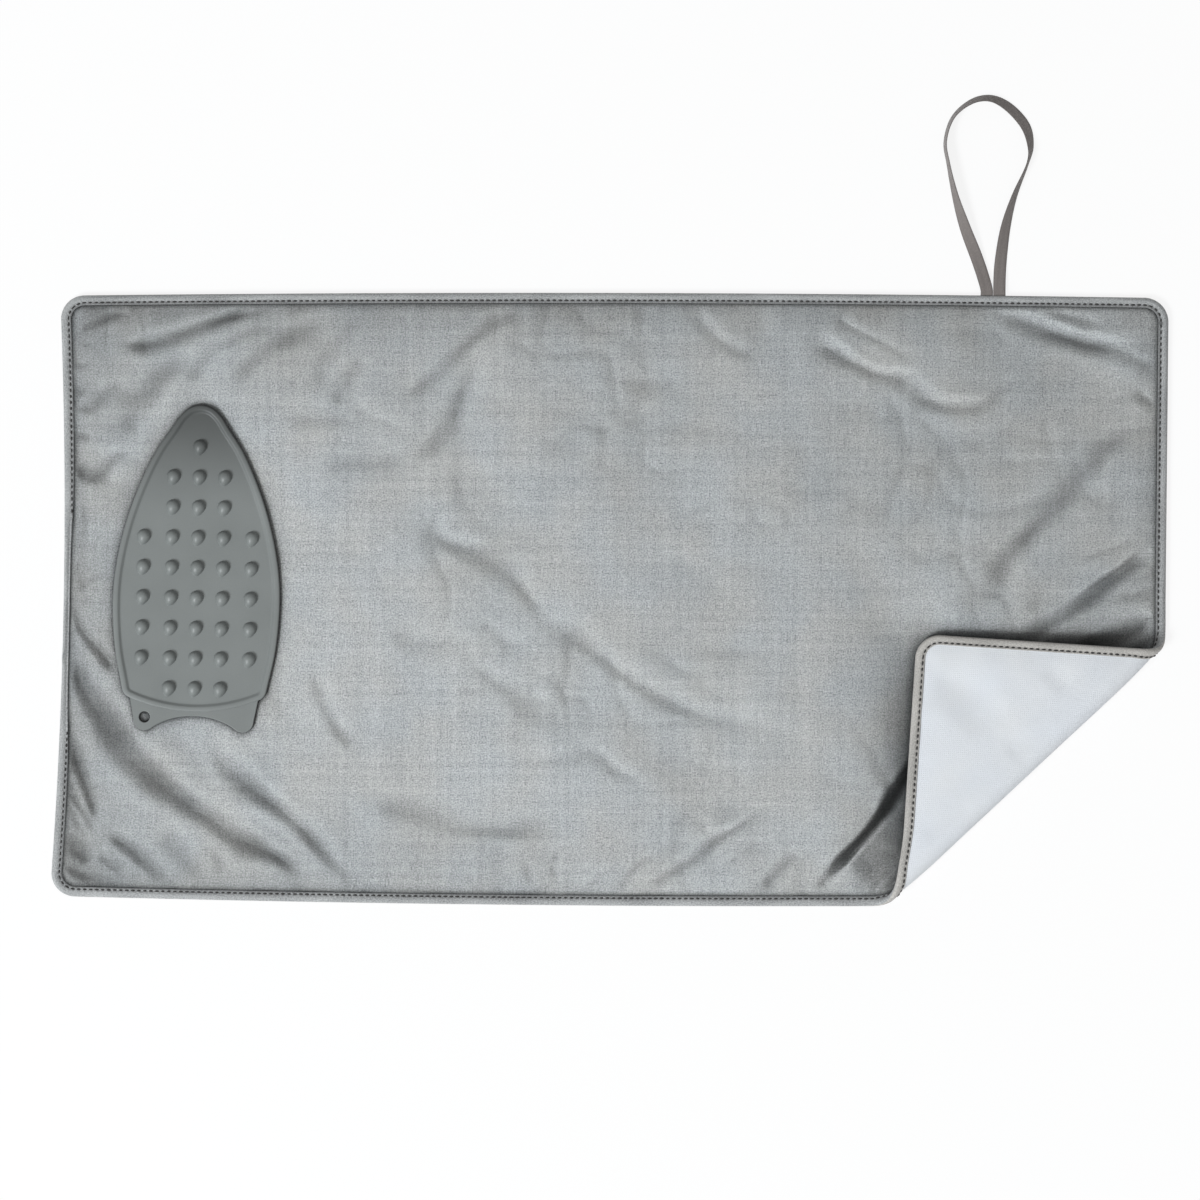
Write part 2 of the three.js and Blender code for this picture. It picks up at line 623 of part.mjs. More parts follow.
place("fold_cover", rollPanel(coverLow, coverHigh), silverCloth());
place("fold_wadding", rollPanel(waddingLow, waddingHigh), felt());
place("fold_backing", rollPanel(backingLow, backingHigh), whiteCloth());
const foldEdges = { side: rollRun(sideCrossing), front: rollRun(frontCrossing) };
for (const [edge, run] of Object.entries(foldEdges)) {
  place(`fold_binding_${edge}`, edgeSweep(run, bindingSection()), tape());
  place(`fold_needle_thread_${edge}`, edgeSweep(run, threadSection(NEEDLE_HEIGHT)), thread());
  place(`fold_bobbin_thread_${edge}`, edgeSweep(run, threadSection(BOBBIN_HEIGHT)), thread());
}

place("flap_cover", panel(flapRun, coverLow, coverHigh), silverCloth());
place("flap_wadding", panel(flapRun, waddingLow, waddingHigh), felt());
place("flap_backing", panel(flapRun, backingLow, backingHigh), whiteCloth());
place("flap_binding", edgeSweep(flapRun, bindingSection()), tape());
place("flap_needle_thread", edgeSweep(flapRun, threadSection(NEEDLE_HEIGHT)), thread());
place("flap_bobbin_thread", edgeSweep(flapRun, threadSection(BOBBIN_HEIGHT)), thread());

place("hanging_loop", ribbonLoop(), ribbon());

const restPlace = new THREE.Group();
restPlace.position.set(REST_FROM_LEFT - HALF_LENGTH, REST_FROM_FRONT - HALF_WIDTH, PAD_THICKNESS + CLEARANCE);
restPlace.rotation.z = REST_TURN * DEGREE;
pad.add(restPlace);
place("iron_rest", ironRest(), silicone(), restPlace);

export default pad;
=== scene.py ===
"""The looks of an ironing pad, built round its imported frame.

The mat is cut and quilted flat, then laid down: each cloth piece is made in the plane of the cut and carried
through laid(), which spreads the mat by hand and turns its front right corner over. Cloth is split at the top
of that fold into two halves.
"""

import json
import math

import bmesh
import bpy
import numpy as np
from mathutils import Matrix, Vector


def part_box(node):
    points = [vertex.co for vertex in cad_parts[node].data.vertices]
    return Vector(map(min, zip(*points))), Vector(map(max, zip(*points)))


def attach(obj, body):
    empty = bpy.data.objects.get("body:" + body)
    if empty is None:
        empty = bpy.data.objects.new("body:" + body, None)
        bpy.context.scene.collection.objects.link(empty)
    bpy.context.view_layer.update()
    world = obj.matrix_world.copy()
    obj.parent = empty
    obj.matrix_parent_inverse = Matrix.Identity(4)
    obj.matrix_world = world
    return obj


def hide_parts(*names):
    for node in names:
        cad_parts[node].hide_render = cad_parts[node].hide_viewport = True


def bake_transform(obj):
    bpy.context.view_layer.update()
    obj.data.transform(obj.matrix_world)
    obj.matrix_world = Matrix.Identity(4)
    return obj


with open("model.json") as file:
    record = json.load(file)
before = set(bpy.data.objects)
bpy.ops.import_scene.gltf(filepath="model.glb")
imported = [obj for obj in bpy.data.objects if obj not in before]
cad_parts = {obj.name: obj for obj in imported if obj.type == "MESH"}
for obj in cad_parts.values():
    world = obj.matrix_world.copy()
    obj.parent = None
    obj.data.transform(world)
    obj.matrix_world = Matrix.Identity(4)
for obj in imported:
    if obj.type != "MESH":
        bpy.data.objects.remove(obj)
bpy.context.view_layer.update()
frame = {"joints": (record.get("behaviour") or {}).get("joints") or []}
scene = bpy.context.scene
MM = 0.001

# The mat as it is cut and sewn
MAT_LENGTH = 900 * MM
MAT_WIDTH = 500 * MM
CORNER_RADIUS = 20 * MM
PAD_THICKNESS = 6 * MM
PRESSED_LOW = 1.9 * MM
PRESSED_HIGH = 4.9 * MM
CROWN_WIDTH = 28 * MM
CLOTH_INSET = 2.6 * MM
CLOTH_STEP = 5 * MM
WADDING_GAP = 0.7 * MM
WADDING_LEAST = 0.1 * MM
BACKING_LIFT = 0.1 * MM
BACKING_LEAST = 0.02 * MM

# The binding tape and its seam
TAPE_WIDTH = 9.2 * MM
TAPE_THICKNESS = 0.8 * MM
TAPE_PRESSED = 0.75
SEAM_INSET = 6.3 * MM
SEAM_PULL = 2.2 * MM
STITCH_PITCH = 4.9 * MM
STITCH_LENGTH = 3.3 * MM
STITCH_DIAMETER = 1.6 * MM
STITCH_SEED = 4

# How the mat lies: drift of its corners, bow of two edges
DRIFT_BACK_LEFT = (-2.5 * MM, -1.5 * MM)
DRIFT_BACK_RIGHT = (2.5 * MM, -3.5 * MM)
DRIFT_FRONT_LEFT = (-11 * MM, 8.5 * MM)
BOW_LEFT = 7.2 * MM
BOW_BACK = 3.2 * MM
DRIFT_SHORT_OF_FOLD = 68 * MM

# The turned-over corner
FOLD_REACH_FRONT = 247 * MM
FOLD_RADIUS = 10 * MM
FLAP_SHORT = 4.5 * MM
FLAP_SHORT_REACH = 44 * MM

# The narrow stretch of binding on the left edge, and the lap where the tape's ends meet
NARROW_MIDDLE = -22 * MM
NARROW_SPREAD = 95 * MM
NARROW_SHARE = 0.36
LAP_BACK = -4 * MM
LAP_FRONT = -52 * MM

# The hanging ribbon
LOOP_FROM_RIGHT = 143 * MM
RIBBON_WIDTH = 10 * MM
RIBBON_THICKNESS = 0.8 * MM
RIBBON_TAIL_DEPTH = 8 * MM
RIBBON_STRAIGHT = 4 * MM
RIBBON_DROP = 36 * MM
RIBBON_FLOOR_GAP = 0.2 * MM
RIBBON_CLEARANCE = 0.3 * MM

# The iron rest
REST_FROM_LEFT = 106.5 * MM
REST_FROM_FRONT = 142.8 * MM
REST_TURN = math.radians(-1.4)
REST_LENGTH = 266 * MM
REST_WIDTH = 135.8 * MM
REST_FLOOR = 1.8 * MM
REST_HEEL_HEIGHT = 29 * MM
REST_HEEL_LOW = 16 * MM
REST_HEEL_WIDTH = 116 * MM
REST_HEEL_FILLET = 5 * MM
HEEL_POINTS = 60
# Painted shade: the silicone darkens towards the rest's tip over this span along the rest, by this share
REST_TIP = (70 * MM, 160 * MM)
REST_TIP_SHADE = 0.62
TAB_THICKNESS = 2.6 * MM
TAB_LOBE_RADIUS = 9 * MM
TAB_LOBE_SPACING = 80 * MM
TAB_LOBE_TURN = math.radians(-50)
TAB_ARCH_HEIGHT = 12.5 * MM
HANG_HOLE_RADIUS = 4 * MM
HANG_HOLE_HEIGHT = 11 * MM
NUB_RADIUS = 5.4 * MM
NUB_HEIGHT = 5.2 * MM
NUB_POINT = 0.28
NUB_NARROWING = 0.14
NUB_TURN = math.radians(-15)
NUB_FIRST_ROW = 35.2 * MM
NUB_ROW_PITCH = 24.64 * MM
NUB_COLUMNS = [0, -20.9 * MM, 20.9 * MM, -44 * MM, 44 * MM]
NUB_COUNTS = [3, 5, 5, 5, 5, 5, 3, 3, 1]

# The top cloth's simulation: how slack it is, how far it may move and where its seam holds it
CLOTH_STEPS = 25
CLOTH_SEEDS = [(0.1 * MM, 110 * MM, 21), (0.04 * MM, 50 * MM, 22)]
CLOTH_LIMIT = 0.8 * MM
CLOTH_CALM = 0.35
SLACK_MIDDLE = 0.0004
SLACK_EDGE = 0.005
SLACK_REACH = 45 * MM
SEAM_HOLD = 2 * MM
SEAM_HOLD_FADE = 3 * MM

# Creases: their scale and section, how they taper and how uneven they are, as noise of a width and seed
CREASE_SCALE = 1.5
CREASE_SPREAD = 1.25
CREASE_SHOULDER = 0.25
SHOULDER_SPREAD = 2.3
CREASE_TAPER = 0.2
CREASE_END = 0.15
CREASE_UNEVEN = 0.45
UNEVEN_DEPTH = (26 * MM, 21)
UNEVEN_WIDTH = (34 * MM, 22)
DEEPEST_CREASE = 4.2 * MM
CREASE_FROM_TAPE = 6 * MM
LEAST_THICKNESS = 1.2 * MM

# Noise as size, width and seed: faint lines of handling, long waves of both cloths; then gathers at the seam
CRUMPLES = [(0.5 * MM, 62 * MM, 41), (0.45 * MM, 31 * MM, 51)]
COVER_WAVES = [(0.45 * MM, 70 * MM, 1), (0.22 * MM, 28 * MM, 2)]
BACKING_WAVES = [(0.3 * MM, 50 * MM, 3)]
PUCKER_LENGTH = 11 * MM
PUCKER_REACH = 60 * MM
PUCKER_FADE = 12 * MM
PUCKER_HEIGHT = 0.5 * MM

# Shade painted into the top cloth's colour: occlusion by what stands over it, the tuck under the tape, deep
# creases and the edges
OCCLUSION_REACH = 90 * MM
OCCLUSION_POWER = 2.4
TUCK_FADE = 1.1 * MM
TUCK_SHADE = 0.8
VALLEY_DEPTH = 4.0 * MM
VALLEY_POWER = 1.25
VALLEY_SHADE = 0.93
EDGE_SHADE = 0.42
EDGE_FADE = 38 * MM
EDGE_LEFTWARD = 0.7

# Where the mat is smooth or pressed: round the fold, under the rest and under the turned tip
ROLL_EASE = 14 * MM
ROLL_THINNING = 0.6
REST_MARGIN = 12 * MM
TIP_MARGIN = 26 * MM
PRESSED_SLACK = 0.1 * MM

# The tape's outside, in millimetres of inset and height: from its upper edge out, and on to its lower edge
CORNER_STEPS = 25
TAPE_STEP = 2.5 * MM
TAPE_TOP = [
    (8.4, 5.2),
    (8.35, 5.55),
    (7.9, 5.8),
    (7.2, 5.88),
    (6.7, 5.72),
    (6.3, 5.55),
    (5.8, 5.72),
    (4.6, 6.15),
    (3.2, 6.35),
    (1.7, 6.05),
    (0.5, 5.0),
    (0, 3.4),
]
TAPE_BELOW = [
    (0, 3.4),
    (0.5, 1.9),
    (1.7, 0.95),
    (3.2, 0.7),
    (4.6, 0.8),
    (5.8, 1.1),
    (6.3, 1.25),
    (6.8, 1.12),
    (7.5, 1.05),
    (7.9, 1.2),
    (7.95, 1.5),
]
NEEDLE_HEIGHT = 5.72 * MM
BOBBIN_HEIGHT = 1.05 * MM
KNOT_SPREAD = 6 * MM
KNOT_HEIGHT = 1.1 * MM
KNOT_OUT = 1.4 * MM
LAP_HEIGHT = 0.35 * MM
PUFF_MIDDLE = 2.8 * MM
PUFF_SPREAD = 2.0 * MM
PUFF_HEIGHT = 0.22 * MM
PUFF_LENGTH = 16 * MM
PUFF_SEED = 31

# The ribbon's middle line from one end to the other: across, out from the edge, twist in degrees
RIBBON_STEPS = 10
RIBBON_COLUMNS = 9
LOOP_POINTS = [
    (-8.2, 16, 0),
    (-12.6, 29.4, 8),
    (-22.8, 55.5, 35),
    (-31, 81.6, 65),
    (-36.7, 107.7, 80),
    (-39.2, 125, 80),
    (-33, 145, 75),
    (-18, 158, 64),
    (-3, 161, 52),
    (12.5, 154, 36),
    (25.3, 140.3, 32),
    (30.4, 123, 54),
    (28.1, 107.7, 77),
    (17.5, 81.6, 62),
    (10.2, 55.5, 35),
    (6.5, 29.4, 12),
    (5.5, 16, 0),
]

# The rest's side as shares of its half width and length, its rim and a nub as inset or radius and height
REST_SIDE = [
    (0.868, 0.128),
    (0.968, 0.26),
    (1, 0.425),
    (0.936, 0.56),
    (0.78, 0.706),
    (0.53, 0.855),
    (0.35, 0.926),
    (0.235, 0.97),
    (0.125, 0.993),
    (0, 1),
]
RIM_PROFILE = [
    (0.5, 0),
    (0.1, 0.15),
    (0, 0.5),
    (0, 2.3),
    (0.15, 2.95),
    (0.6, 3.42),
    (1.3, 3.6),
    (3.4, 3.6),
    (4.0, 3.45),
    (4.5, 3.1),
    (5.6, 2.12),
    (6.0, 1.9),
    (6.5, 1.82),
    (7.2, 1.8),
    (7.8, 1.8),
]
NUB_PROFILE = [
    (-0.3, 0),
    (-0.1, 1.14),
    (0, 1.09),
    (0.05, 1.04),
    (0.2, 0.99),
    (0.4, 0.92),
    (0.6, 0.81),
    (0.77, 0.65),
    (0.9, 0.45),
    (0.97, 0.24),
    (1, 0),
]
TAB_TUCK = 3 * MM
TAB_EDGE = 0.5 * MM

# Camera and light
CAMERA_LENS = 135
CAMERA_SENSOR = 36
VIEW_WIDTH = 979 * MM
VIEW_MIDDLE = (-11.8 * MM, 0)
KEY_POWER = 600
KEY_COLOUR = (0.95, 0.98, 1.0)
KEY_SIZE = (2.2, 2.2)
KEY_PLACE = (-4.3, -3.7, 5.6)
SKY_BRIGHTEST = (0.14, -0.07, 1)
SKY_SPREAD = (0.78, 1.0)
SKY_DARK = (0.21, 0.21, 0.21)
SKY_BRIGHT = (1.03, 1.03, 1.02)
SKY_HORIZON = (0.5, 0.5, 0.5)
HORIZON_RISE = (0.2, 0.8)
FLOOR_REACH = 40
FLOOR_HEIGHT = -0.3 * MM
FLOOR_COLOUR = (0.85, 0.85, 0.85, 1)
FLOOR_WHITENESS = 0.85
WHITE = (1, 1, 1, 1)

HALF_LENGTH = MAT_LENGTH / 2
HALF_WIDTH = MAT_WIDTH / 2
DRIFT_REACH = MAT_LENGTH - FOLD_REACH_FRONT - DRIFT_SHORT_OF_FOLD
REST_TAIL = np.array([REST_FROM_LEFT - HALF_LENGTH, REST_FROM_FRONT - HALF_WIDTH])
TAPE_MIDDLE = sum(end.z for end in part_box("edge_binding")) / 2
HALVES = [(False, ""), (True, "_turned")]

# The fold's own frame, from the hinge that stands in for it
HINGE = next(joint for joint in frame["joints"] if joint["name"] == "corner_unfold")
FOLD_ALONG = np.array(HINGE["axis"][:2])
FOLD_OUT = np.array([FOLD_ALONG[1], -FOLD_ALONG[0]])
FOLD_FRONT_END = np.array([HALF_LENGTH - FOLD_REACH_FRONT, -HALF_WIDTH])
FOLD_LEVEL = FOLD_FRONT_END @ FOLD_OUT
ROLL_HALF = math.radians(HINGE["range_deg"][1])
ROLL_LENGTH = 2 * ROLL_HALF * FOLD_RADIUS
ROLL_TOP = ROLL_LENGTH / 2
ROLL_CENTRE = PAD_THICKNESS / 2 + FOLD_RADIUS

# Drag lines and dents in the top cloth, seen from above: depth, half width and route, in millimetres
COVER_CREASES = [
    # back left corner
    (1.2, 4, [(-396, 239), (-418, 230), (-437, 220)]),
    (1.7, 5, [(-288, 240), (-311, 233), (-338, 224), (-360, 215), (-384, 209), (-398, 208)]),
    (1.3, 8, [(-340, 203), (-358, 193), (-372, 180), (-382, 165), (-392, 150), (-404, 138)]),
    (0.6, 5, [(-276, 226), (-292, 221), (-312, 213), (-327, 203), (-337, 190), (-347, 177)]),
    (1.1, 7, [(-224, 232), (-250, 222), (-272, 213), (-286, 202), (-297, 190), (-305, 177)]),
    (0.7, 6, [(-201, 236), (-216, 219), (-229, 203), (-236, 188), (-244, 174)]),
    (0.7, 5, [(-200, 200), (-213, 185), (-221, 171), (-229, 160)]),
    (0.35, 6, [(-235, 113), (-214, 116), (-194, 113), (-166, 108)]),
    (0.4, 6, [(-264, 145), (-240, 150), (-214, 148)]),
    # left edge
    (0.7, 3, [(-442, 193), (-430, 190)]),
    (0.8, 3, [(-442, 172), (-431, 169)]),
    (0.9, 4, [(-442, 158), (-427, 157), (-417, 165), (-406, 174), (-398, 172)]),
    (0.8, 3, [(-441, 136), (-427, 132)]),
    (1.1, 4, [(-442, 112), (-431, 104), (-420, 103), (-406, 116), (-394, 122)]),
    (0.5, 3, [(-432, 82), (-430, 64), (-434, 50)]),
    (0.6, 4, [(-440, 15), (-427, 16), (-417, 22)]),
    (1.9, 4, [(-444, 0), (-437, -19), (-426, -34), (-415, -46), (-405, -60)]),
    # front left corner
    (2.7, 8, [(-441, -42), (-437, -62), (-424, -83), (-407, -105), (-391, -126), (-372, -146), (-350, -164)]),
    (1.9, 5.5, [(-374, -144), (-345, -167), (-318, -184), (-298, -197), (-275, -209), (-254, -222)]),
    (
        1.7,
        5.5,
        [(-332, -113), (-315, -135), (-290, -157), (-270, -172), (-252, -188), (-238, -203), (-218, -224)],
    ),
    (1.7, 5, [(-445, -104), (-441, -124), (-433, -144), (-426, -164), (-422, -186)]),
    (1.0, 3, [(-446, -140), (-441, -159), (-431, -176), (-424, -190)]),
    (1.0, 3, [(-447, -166), (-438, -181), (-430, -196)]),
    (1.5, 5, [(-446, -188), (-436, -204), (-427, -216)]),
    (1.4, 4, [(-416, -187), (-400, -198), (-385, -210), (-371, -223), (-361, -231)]),
    (1.3, 4, [(-448, -214), (-435, -223), (-420, -228), (-404, -232)]),
    (0.8, 3, [(-421, -204), (-410, -215), (-397, -227)]),
    (0.9, 7, [(-371, -186), (-356, -200), (-345, -212), (-334, -224)]),
    (0.5, 4, [(-336, -194), (-325, -207), (-318, -223)]),
    (0.7, 5, [(-246, -58), (-238, -76), (-230, -95), (-222, -108), (-208, -119)]),
    # back edge and middle
    (1.1, 6, [(-77, 238), (-95, 229), (-112, 215), (-125, 202), (-140, 188), (-155, 177), (-168, 166)]),
    (0.9, 6, [(-108, 198), (-118, 180), (-125, 160), (-132, 143), (-145, 128), (-162, 113)]),
    (0.3, 6, [(-101, 166), (-85, 160), (-69, 162)]),
    (0.35, 6, [(2, 181), (30, 176), (55, 180)]),
    (0.4, 4, [(64, 238), (75, 222), (90, 210), (105, 202), (118, 199)]),
    (0.25, 6, [(-28, 153), (-14, 145), (2, 137)]),
    (0.25, 6, [(-61, 133), (-45, 128), (-29, 135)]),
    (0.35, 6, [(84, 25), (100, 29), (127, 32)]),
    (0.7, 7, [(-152, 66), (-140, 50), (-120, 42), (-100, 33), (-84, 21), (-70, 4), (-58, -12)]),
    (
        0.65,
        6,
        [(-62, -8), (-50, -20), (-30, -30), (-14, -42), (0, -55), (20, -68), (40, -80), (62, -91)]
        + [(100, -100), (128, -98)],
    ),
    (0.5, 6, [(-120, -46), (-105, -60), (-90, -70), (-75, -82), (-60, -93), (-38, -98)]),
    (0.4, 6, [(-112, -13), (-95, -28), (-78, -42)]),
    (0.4, 6, [(-178, -18), (-164, -34), (-140, -35), (-122, -31)]),
    (0.3, 5, [(58, -43), (80, -39), (100, -40), (118, -35)]),
    (0.35, 6, [(-72, -134), (-45, -130), (-25, -123), (-10, -127), (0, -138), (15, -145), (32, -149)]),
    (0.3, 6, [(82, -159), (60, -172), (46, -181)]),
    (
        0.7,
        7,
        [(-206, -159), (-180, -166), (-150, -172), (-130, -182), (-100, -186), (-70, -184), (-28, -182)],
    ),
    # front edge
    (1.4, 4, [(122, -169), (105, -182), (85, -195), (65, -210), (45, -222), (26, -237)]),
    (1.0, 3, [(36, -204), (20, -215), (10, -228), (5, -238)]),
    (0.7, 3, [(-39, -199), (-48, -212), (-48, -230)]),
    (0.6, 3, [(6, -212), (-10, -224), (-23, -235)]),
    (0.5, 3, [(-71, -213), (-68, -232)]),
    (0.5, 3, [(-120, -222), (-112, -234)]),
    (1.2, 4, [(152, -203), (136, -219), (121, -235)]),
    (0.4, 4, [(122, -194), (106, -205), (94, -216)]),
    # back right corner and right edge
    (1.1, 5, [(163, 209), (180, 202), (195, 194), (210, 187), (230, 182), (248, 182)]),
    (0.8, 5, [(240, 180), (250, 168), (265, 160), (290, 158), (304, 161), (318, 172), (337, 186)]),
    (0.5, 4, [(177, 233), (195, 222), (215, 212), (242, 199)]),
    (1.7, 4.5, [(313, 233), (330, 228), (350, 220), (370, 214), (387, 209), (406, 207), (432, 209)]),
    (0.5, 3, [(354, 238), (375, 230), (397, 226)]),
    (0.7, 3, [(409, 203), (425, 197), (441, 187)]),
    (0.6, 3, [(424, 173), (434, 164), (442, 159)]),
    (
        1.5,
        9,
        [(440, 140), (420, 137), (404, 127), (394, 114), (384, 103), (368, 83), (350, 65), (335, 50)]
        + [(322, 35), (312, 14), (298, -2)],
    ),
    (0.5, 4, [(427, 51), (405, 42), (383, 34)]),
    (0.6, 3, [(442, 11), (426, 5), (413, 3)]),
    # beside the turned corner
    (3.0, 6, [(442, 44), (425, 30), (405, 15), (390, 3), (373, -8), (352, -22), (336, -34)]),
    (2.6, 8, [(446, -22), (420, -26), (398, -34), (376, -42)]),
    (
        4.6,
        3.4,
        [(262, -112), (247, -132), (236, -148), (226, -164), (215, -181), (201, -197), (186, -213)]
        + [(170, -230)],
    ),
    (3.2, 5.5, [(272, -106), (258, -124), (246, -140), (236, -154), (226, -169), (217, -182)]),
    (4.0, 3, [(208, -247), (214, -236), (221, -228), (236, -214)]),
]

# Where the top cloth sinks towards the turned corner and what lies under it
COVER_HOLLOWS = [
    (2.2, 21, [(246, 10), (246, -30), (246, -80), (246, -130), (243, -175), (236, -215), (226, -250)]),
    (1.2, 14, [(262, -30), (300, -36), (350, -42), (400, -48), (446, -53)]),
    (1.2, 11, [(250, -150), (240, -170), (228, -190), (214, -210), (200, -228)]),
]

# Dents in the backing of the turned corner: depth, half width and route, along the fold and past it
FLAP_CREASES = [
    (1.6, 14, [(173, 134), (180, 97), (182, 64)]),
    (1.0, 10, [(242, 76), (244, 46)]),
    (0.8, 8, [(215, 31), (191, 39), (169, 43)]),
    (0.8, 7, [(123, 34), (95, 37), (73, 38)]),
]


def clamped(value):
    return np.clip(value, 0, 1)


def eased(value):
    share = clamped(value)
    return share * share * (3 - 2 * share)


def mixed(low, high, share):
    return low + (high - low) * share


def smooth_route(stops, steps):
    """Points on a centripetal spline through a row of stops."""
    stops = np.asarray(stops, float)
    padded = np.vstack([2 * stops[0] - stops[1], stops, 2 * stops[-1] - stops[-2]])
    share = np.linspace(0, 1, steps, endpoint=False)[:, None]
    points = []
    for before, start, end, after in zip(padded, padded[1:], padded[2:], padded[3:]):
        lead, span, trail = (
            math.sqrt(np.linalg.norm(b - a)) for a, b in ((before, start), (start, end), (end, after))
        )
        leave = span * ((start - before) / lead - (end - before) / (lead + span)) + end - start
        arrive = span * ((after - end) / trail - (after - start) / (span + trail)) + end - start
        square, cube = share**2, share**3
        points.append(
            (2 * cube - 3 * square + 1) * start
            + (cube - 2 * square + share) * leave
            + (3 * square - 2 * cube) * end
            + (cube - square) * arrive
        )
    return np.vstack([*points, stops[-1:]])


def soft_noise(points, cell, seed):
    """Smooth noise from -1 to 1 at points of a plane, with hills about a cell wide."""
    lattice = np.random.default_rng(seed).uniform(-1, 1, (512, 512))
    place = np.asarray(points) / cell + 256
    corner = np.floor(place).astype(int)
    share = eased(place - corner)
    i, j = corner[..., 0], corner[..., 1]
    near = mixed(lattice[i, j], lattice[i + 1, j], share[..., 0])
    far = mixed(lattice[i, j + 1], lattice[i + 1, j + 1], share[..., 0])
    return mixed(near, far, share[..., 1])


def waves(points, layers):
    """A sum of soft noises, each of a size, a width and a seed."""
    return sum(size * soft_noise(points, cell, seed) for size, cell, seed in layers)


# Laying the mat down


def drifted(flat):
    """Where points of the cut mat lie once it is spread by hand."""
    x, y = flat[..., 0], flat[..., 1]
    along = x / MAT_LENGTH + 0.5
    across = y / MAT_WIDTH + 0.5
    left = np.maximum(0, 1 - (x + HALF_LENGTH) / DRIFT_REACH) ** 2
    back = np.maximum(0, 2 * across - 1)
    left_bow = BOW_LEFT * 4 * across * (1 - across)
    back_bow = BOW_BACK * 4 * along * (1 - along)
    left_shift = mixed(DRIFT_FRONT_LEFT[0], DRIFT_BACK_LEFT[0], across) + left_bow
    front_shift = DRIFT_FRONT_LEFT[1] * (1 - across)
    back_shift = mixed(DRIFT_BACK_LEFT[1], DRIFT_BACK_RIGHT[1], along) + back_bow
    flap = eased((flat @ FOLD_OUT - FOLD_LEVEL - ROLL_TOP) / FLAP_SHORT_REACH)
    return np.stack(
        [
            x + left * left_shift + back * along * DRIFT_BACK_RIGHT[0],
            y + left * front_shift + back * back_shift + flap * FLAP_SHORT,
        ],
        axis=-1,
    )


def laid(flat, height):
    """Points of the cut mat at heights in its thickness, spread out and carried round the fold."""
    spread = drifted(flat)
    along = spread @ FOLD_ALONG
    out = spread @ FOLD_OUT
    past = np.maximum(0, out - FOLD_LEVEL)
    angle = np.minimum(past / FOLD_RADIUS, 2 * ROLL_HALF)
    beyond = np.maximum(0, past - ROLL_LENGTH)
    radius = ROLL_CENTRE - height
    out = np.minimum(out, FOLD_LEVEL) + radius * np.sin(angle) + beyond * np.cos(angle)
    rise = ROLL_CENTRE - radius * np.cos(angle) + beyond * np.sin(angle)
    plane = along[..., None] * FOLD_ALONG + out[..., None] * FOLD_OUT
    return np.concatenate([plane, rise[..., None]], axis=-1)


# The plane of the cut


def edge_inset(flat):
    """How far points of the cut lie inside its rounded outline."""
    over = np.abs(flat) - (np.array([HALF_LENGTH, HALF_WIDTH]) - CORNER_RADIUS)
    outside = np.linalg.norm(np.maximum(over, 0), axis=-1)
    return CORNER_RADIUS - outside - np.minimum(over.max(axis=-1), 0)


def left_narrowing(flat):
    """How much narrower the tape shows, on the left edge only."""
    near_left = eased((-flat[..., 0] - 0.8 * HALF_LENGTH) / (0.15 * HALF_LENGTH))
    return NARROW_SHARE * near_left * np.exp(-(((flat[..., 1] - NARROW_MIDDLE) / NARROW_SPREAD) ** 4))


def loft(flat):
    """How far the wadding has sprung up, from 0 at the tape to 1."""
    tape_edge = TAPE_WIDTH * (1 - left_narrowing(flat))
    return np.sin(clamped((edge_inset(flat) - tape_edge) / CROWN_WIDTH) ** 0.75 * math.pi / 2)


def cut_grid(inset, step):
    """A grid of points over the cut, bent round its corners."""
    half = np.array([HALF_LENGTH, HALF_WIDTH]) - inset
    rows = [np.linspace(-reach, reach, round(2 * reach / step) + 1) for reach in half]
    grid = np.stack(np.meshgrid(*rows, indexing="ij"), axis=-1)
    radius = CORNER_RADIUS - inset
    core = half - radius
    over = clamped((np.abs(grid) - core) / radius)
    rounded = over * np.sqrt(1 - over[..., ::-1] ** 2 / 2)
    return np.sign(grid) * (np.minimum(np.abs(grid), core) + rounded * radius)


def refined(grid, axis):
    """A grid with a smooth point put between each two along one axis."""
    rows = np.moveaxis(grid, axis, 0)
    between = (rows[:-1] + rows[1:]) / 2
    between[1:-1] = (9 * (rows[1:-2] + rows[2:-1]) - rows[:-3] - rows[3:]) / 16
    finer = np.empty((2 * len(rows) - 1, *rows.shape[1:]))
    finer[0::2] = rows
    finer[1::2] = between
    return np.moveaxis(finer, 0, axis)


def crease_depth(points, creases, shoulder=CREASE_SHOULDER, unevenness=CREASE_UNEVEN):
    """How far a set of creases pushes points of a plane down, and raises a shoulder on each side."""
    total = np.zeros(points.shape[:-1])
    uneven = 1 + unevenness * soft_noise(points, *UNEVEN_DEPTH)
    broader = 1 + unevenness * soft_noise(points, *UNEVEN_WIDTH)
    for depth, width, stops in creases:
        route = smooth_route(np.array(stops) * MM, 8)
        nearest = np.full(total.shape, np.inf)
        place = np.zeros(total.shape)
        for k, (start, end) in enumerate(zip(route, route[1:])):
            span = end - start
            share = clamped((points - start) @ span / (span @ span))
            distance = np.linalg.norm(points - start - share[..., None] * span, axis=-1)
            closer = distance < nearest
            nearest = np.where(closer, distance, nearest)
            place = np.where(closer, (k + share) / (len(route) - 1), place)
        taper = mixed(CREASE_END, 1, eased(place / CREASE_TAPER) * eased((1 - place) / CREASE_TAPER))
        across = nearest / (width * CREASE_SPREAD * MM * broader)
        profile = np.exp(-(across**2)) - shoulder * np.exp(-((across / SHOULDER_SPREAD) ** 2))
        total += depth * MM * taper * uneven * profile
    return total * CREASE_SCALE


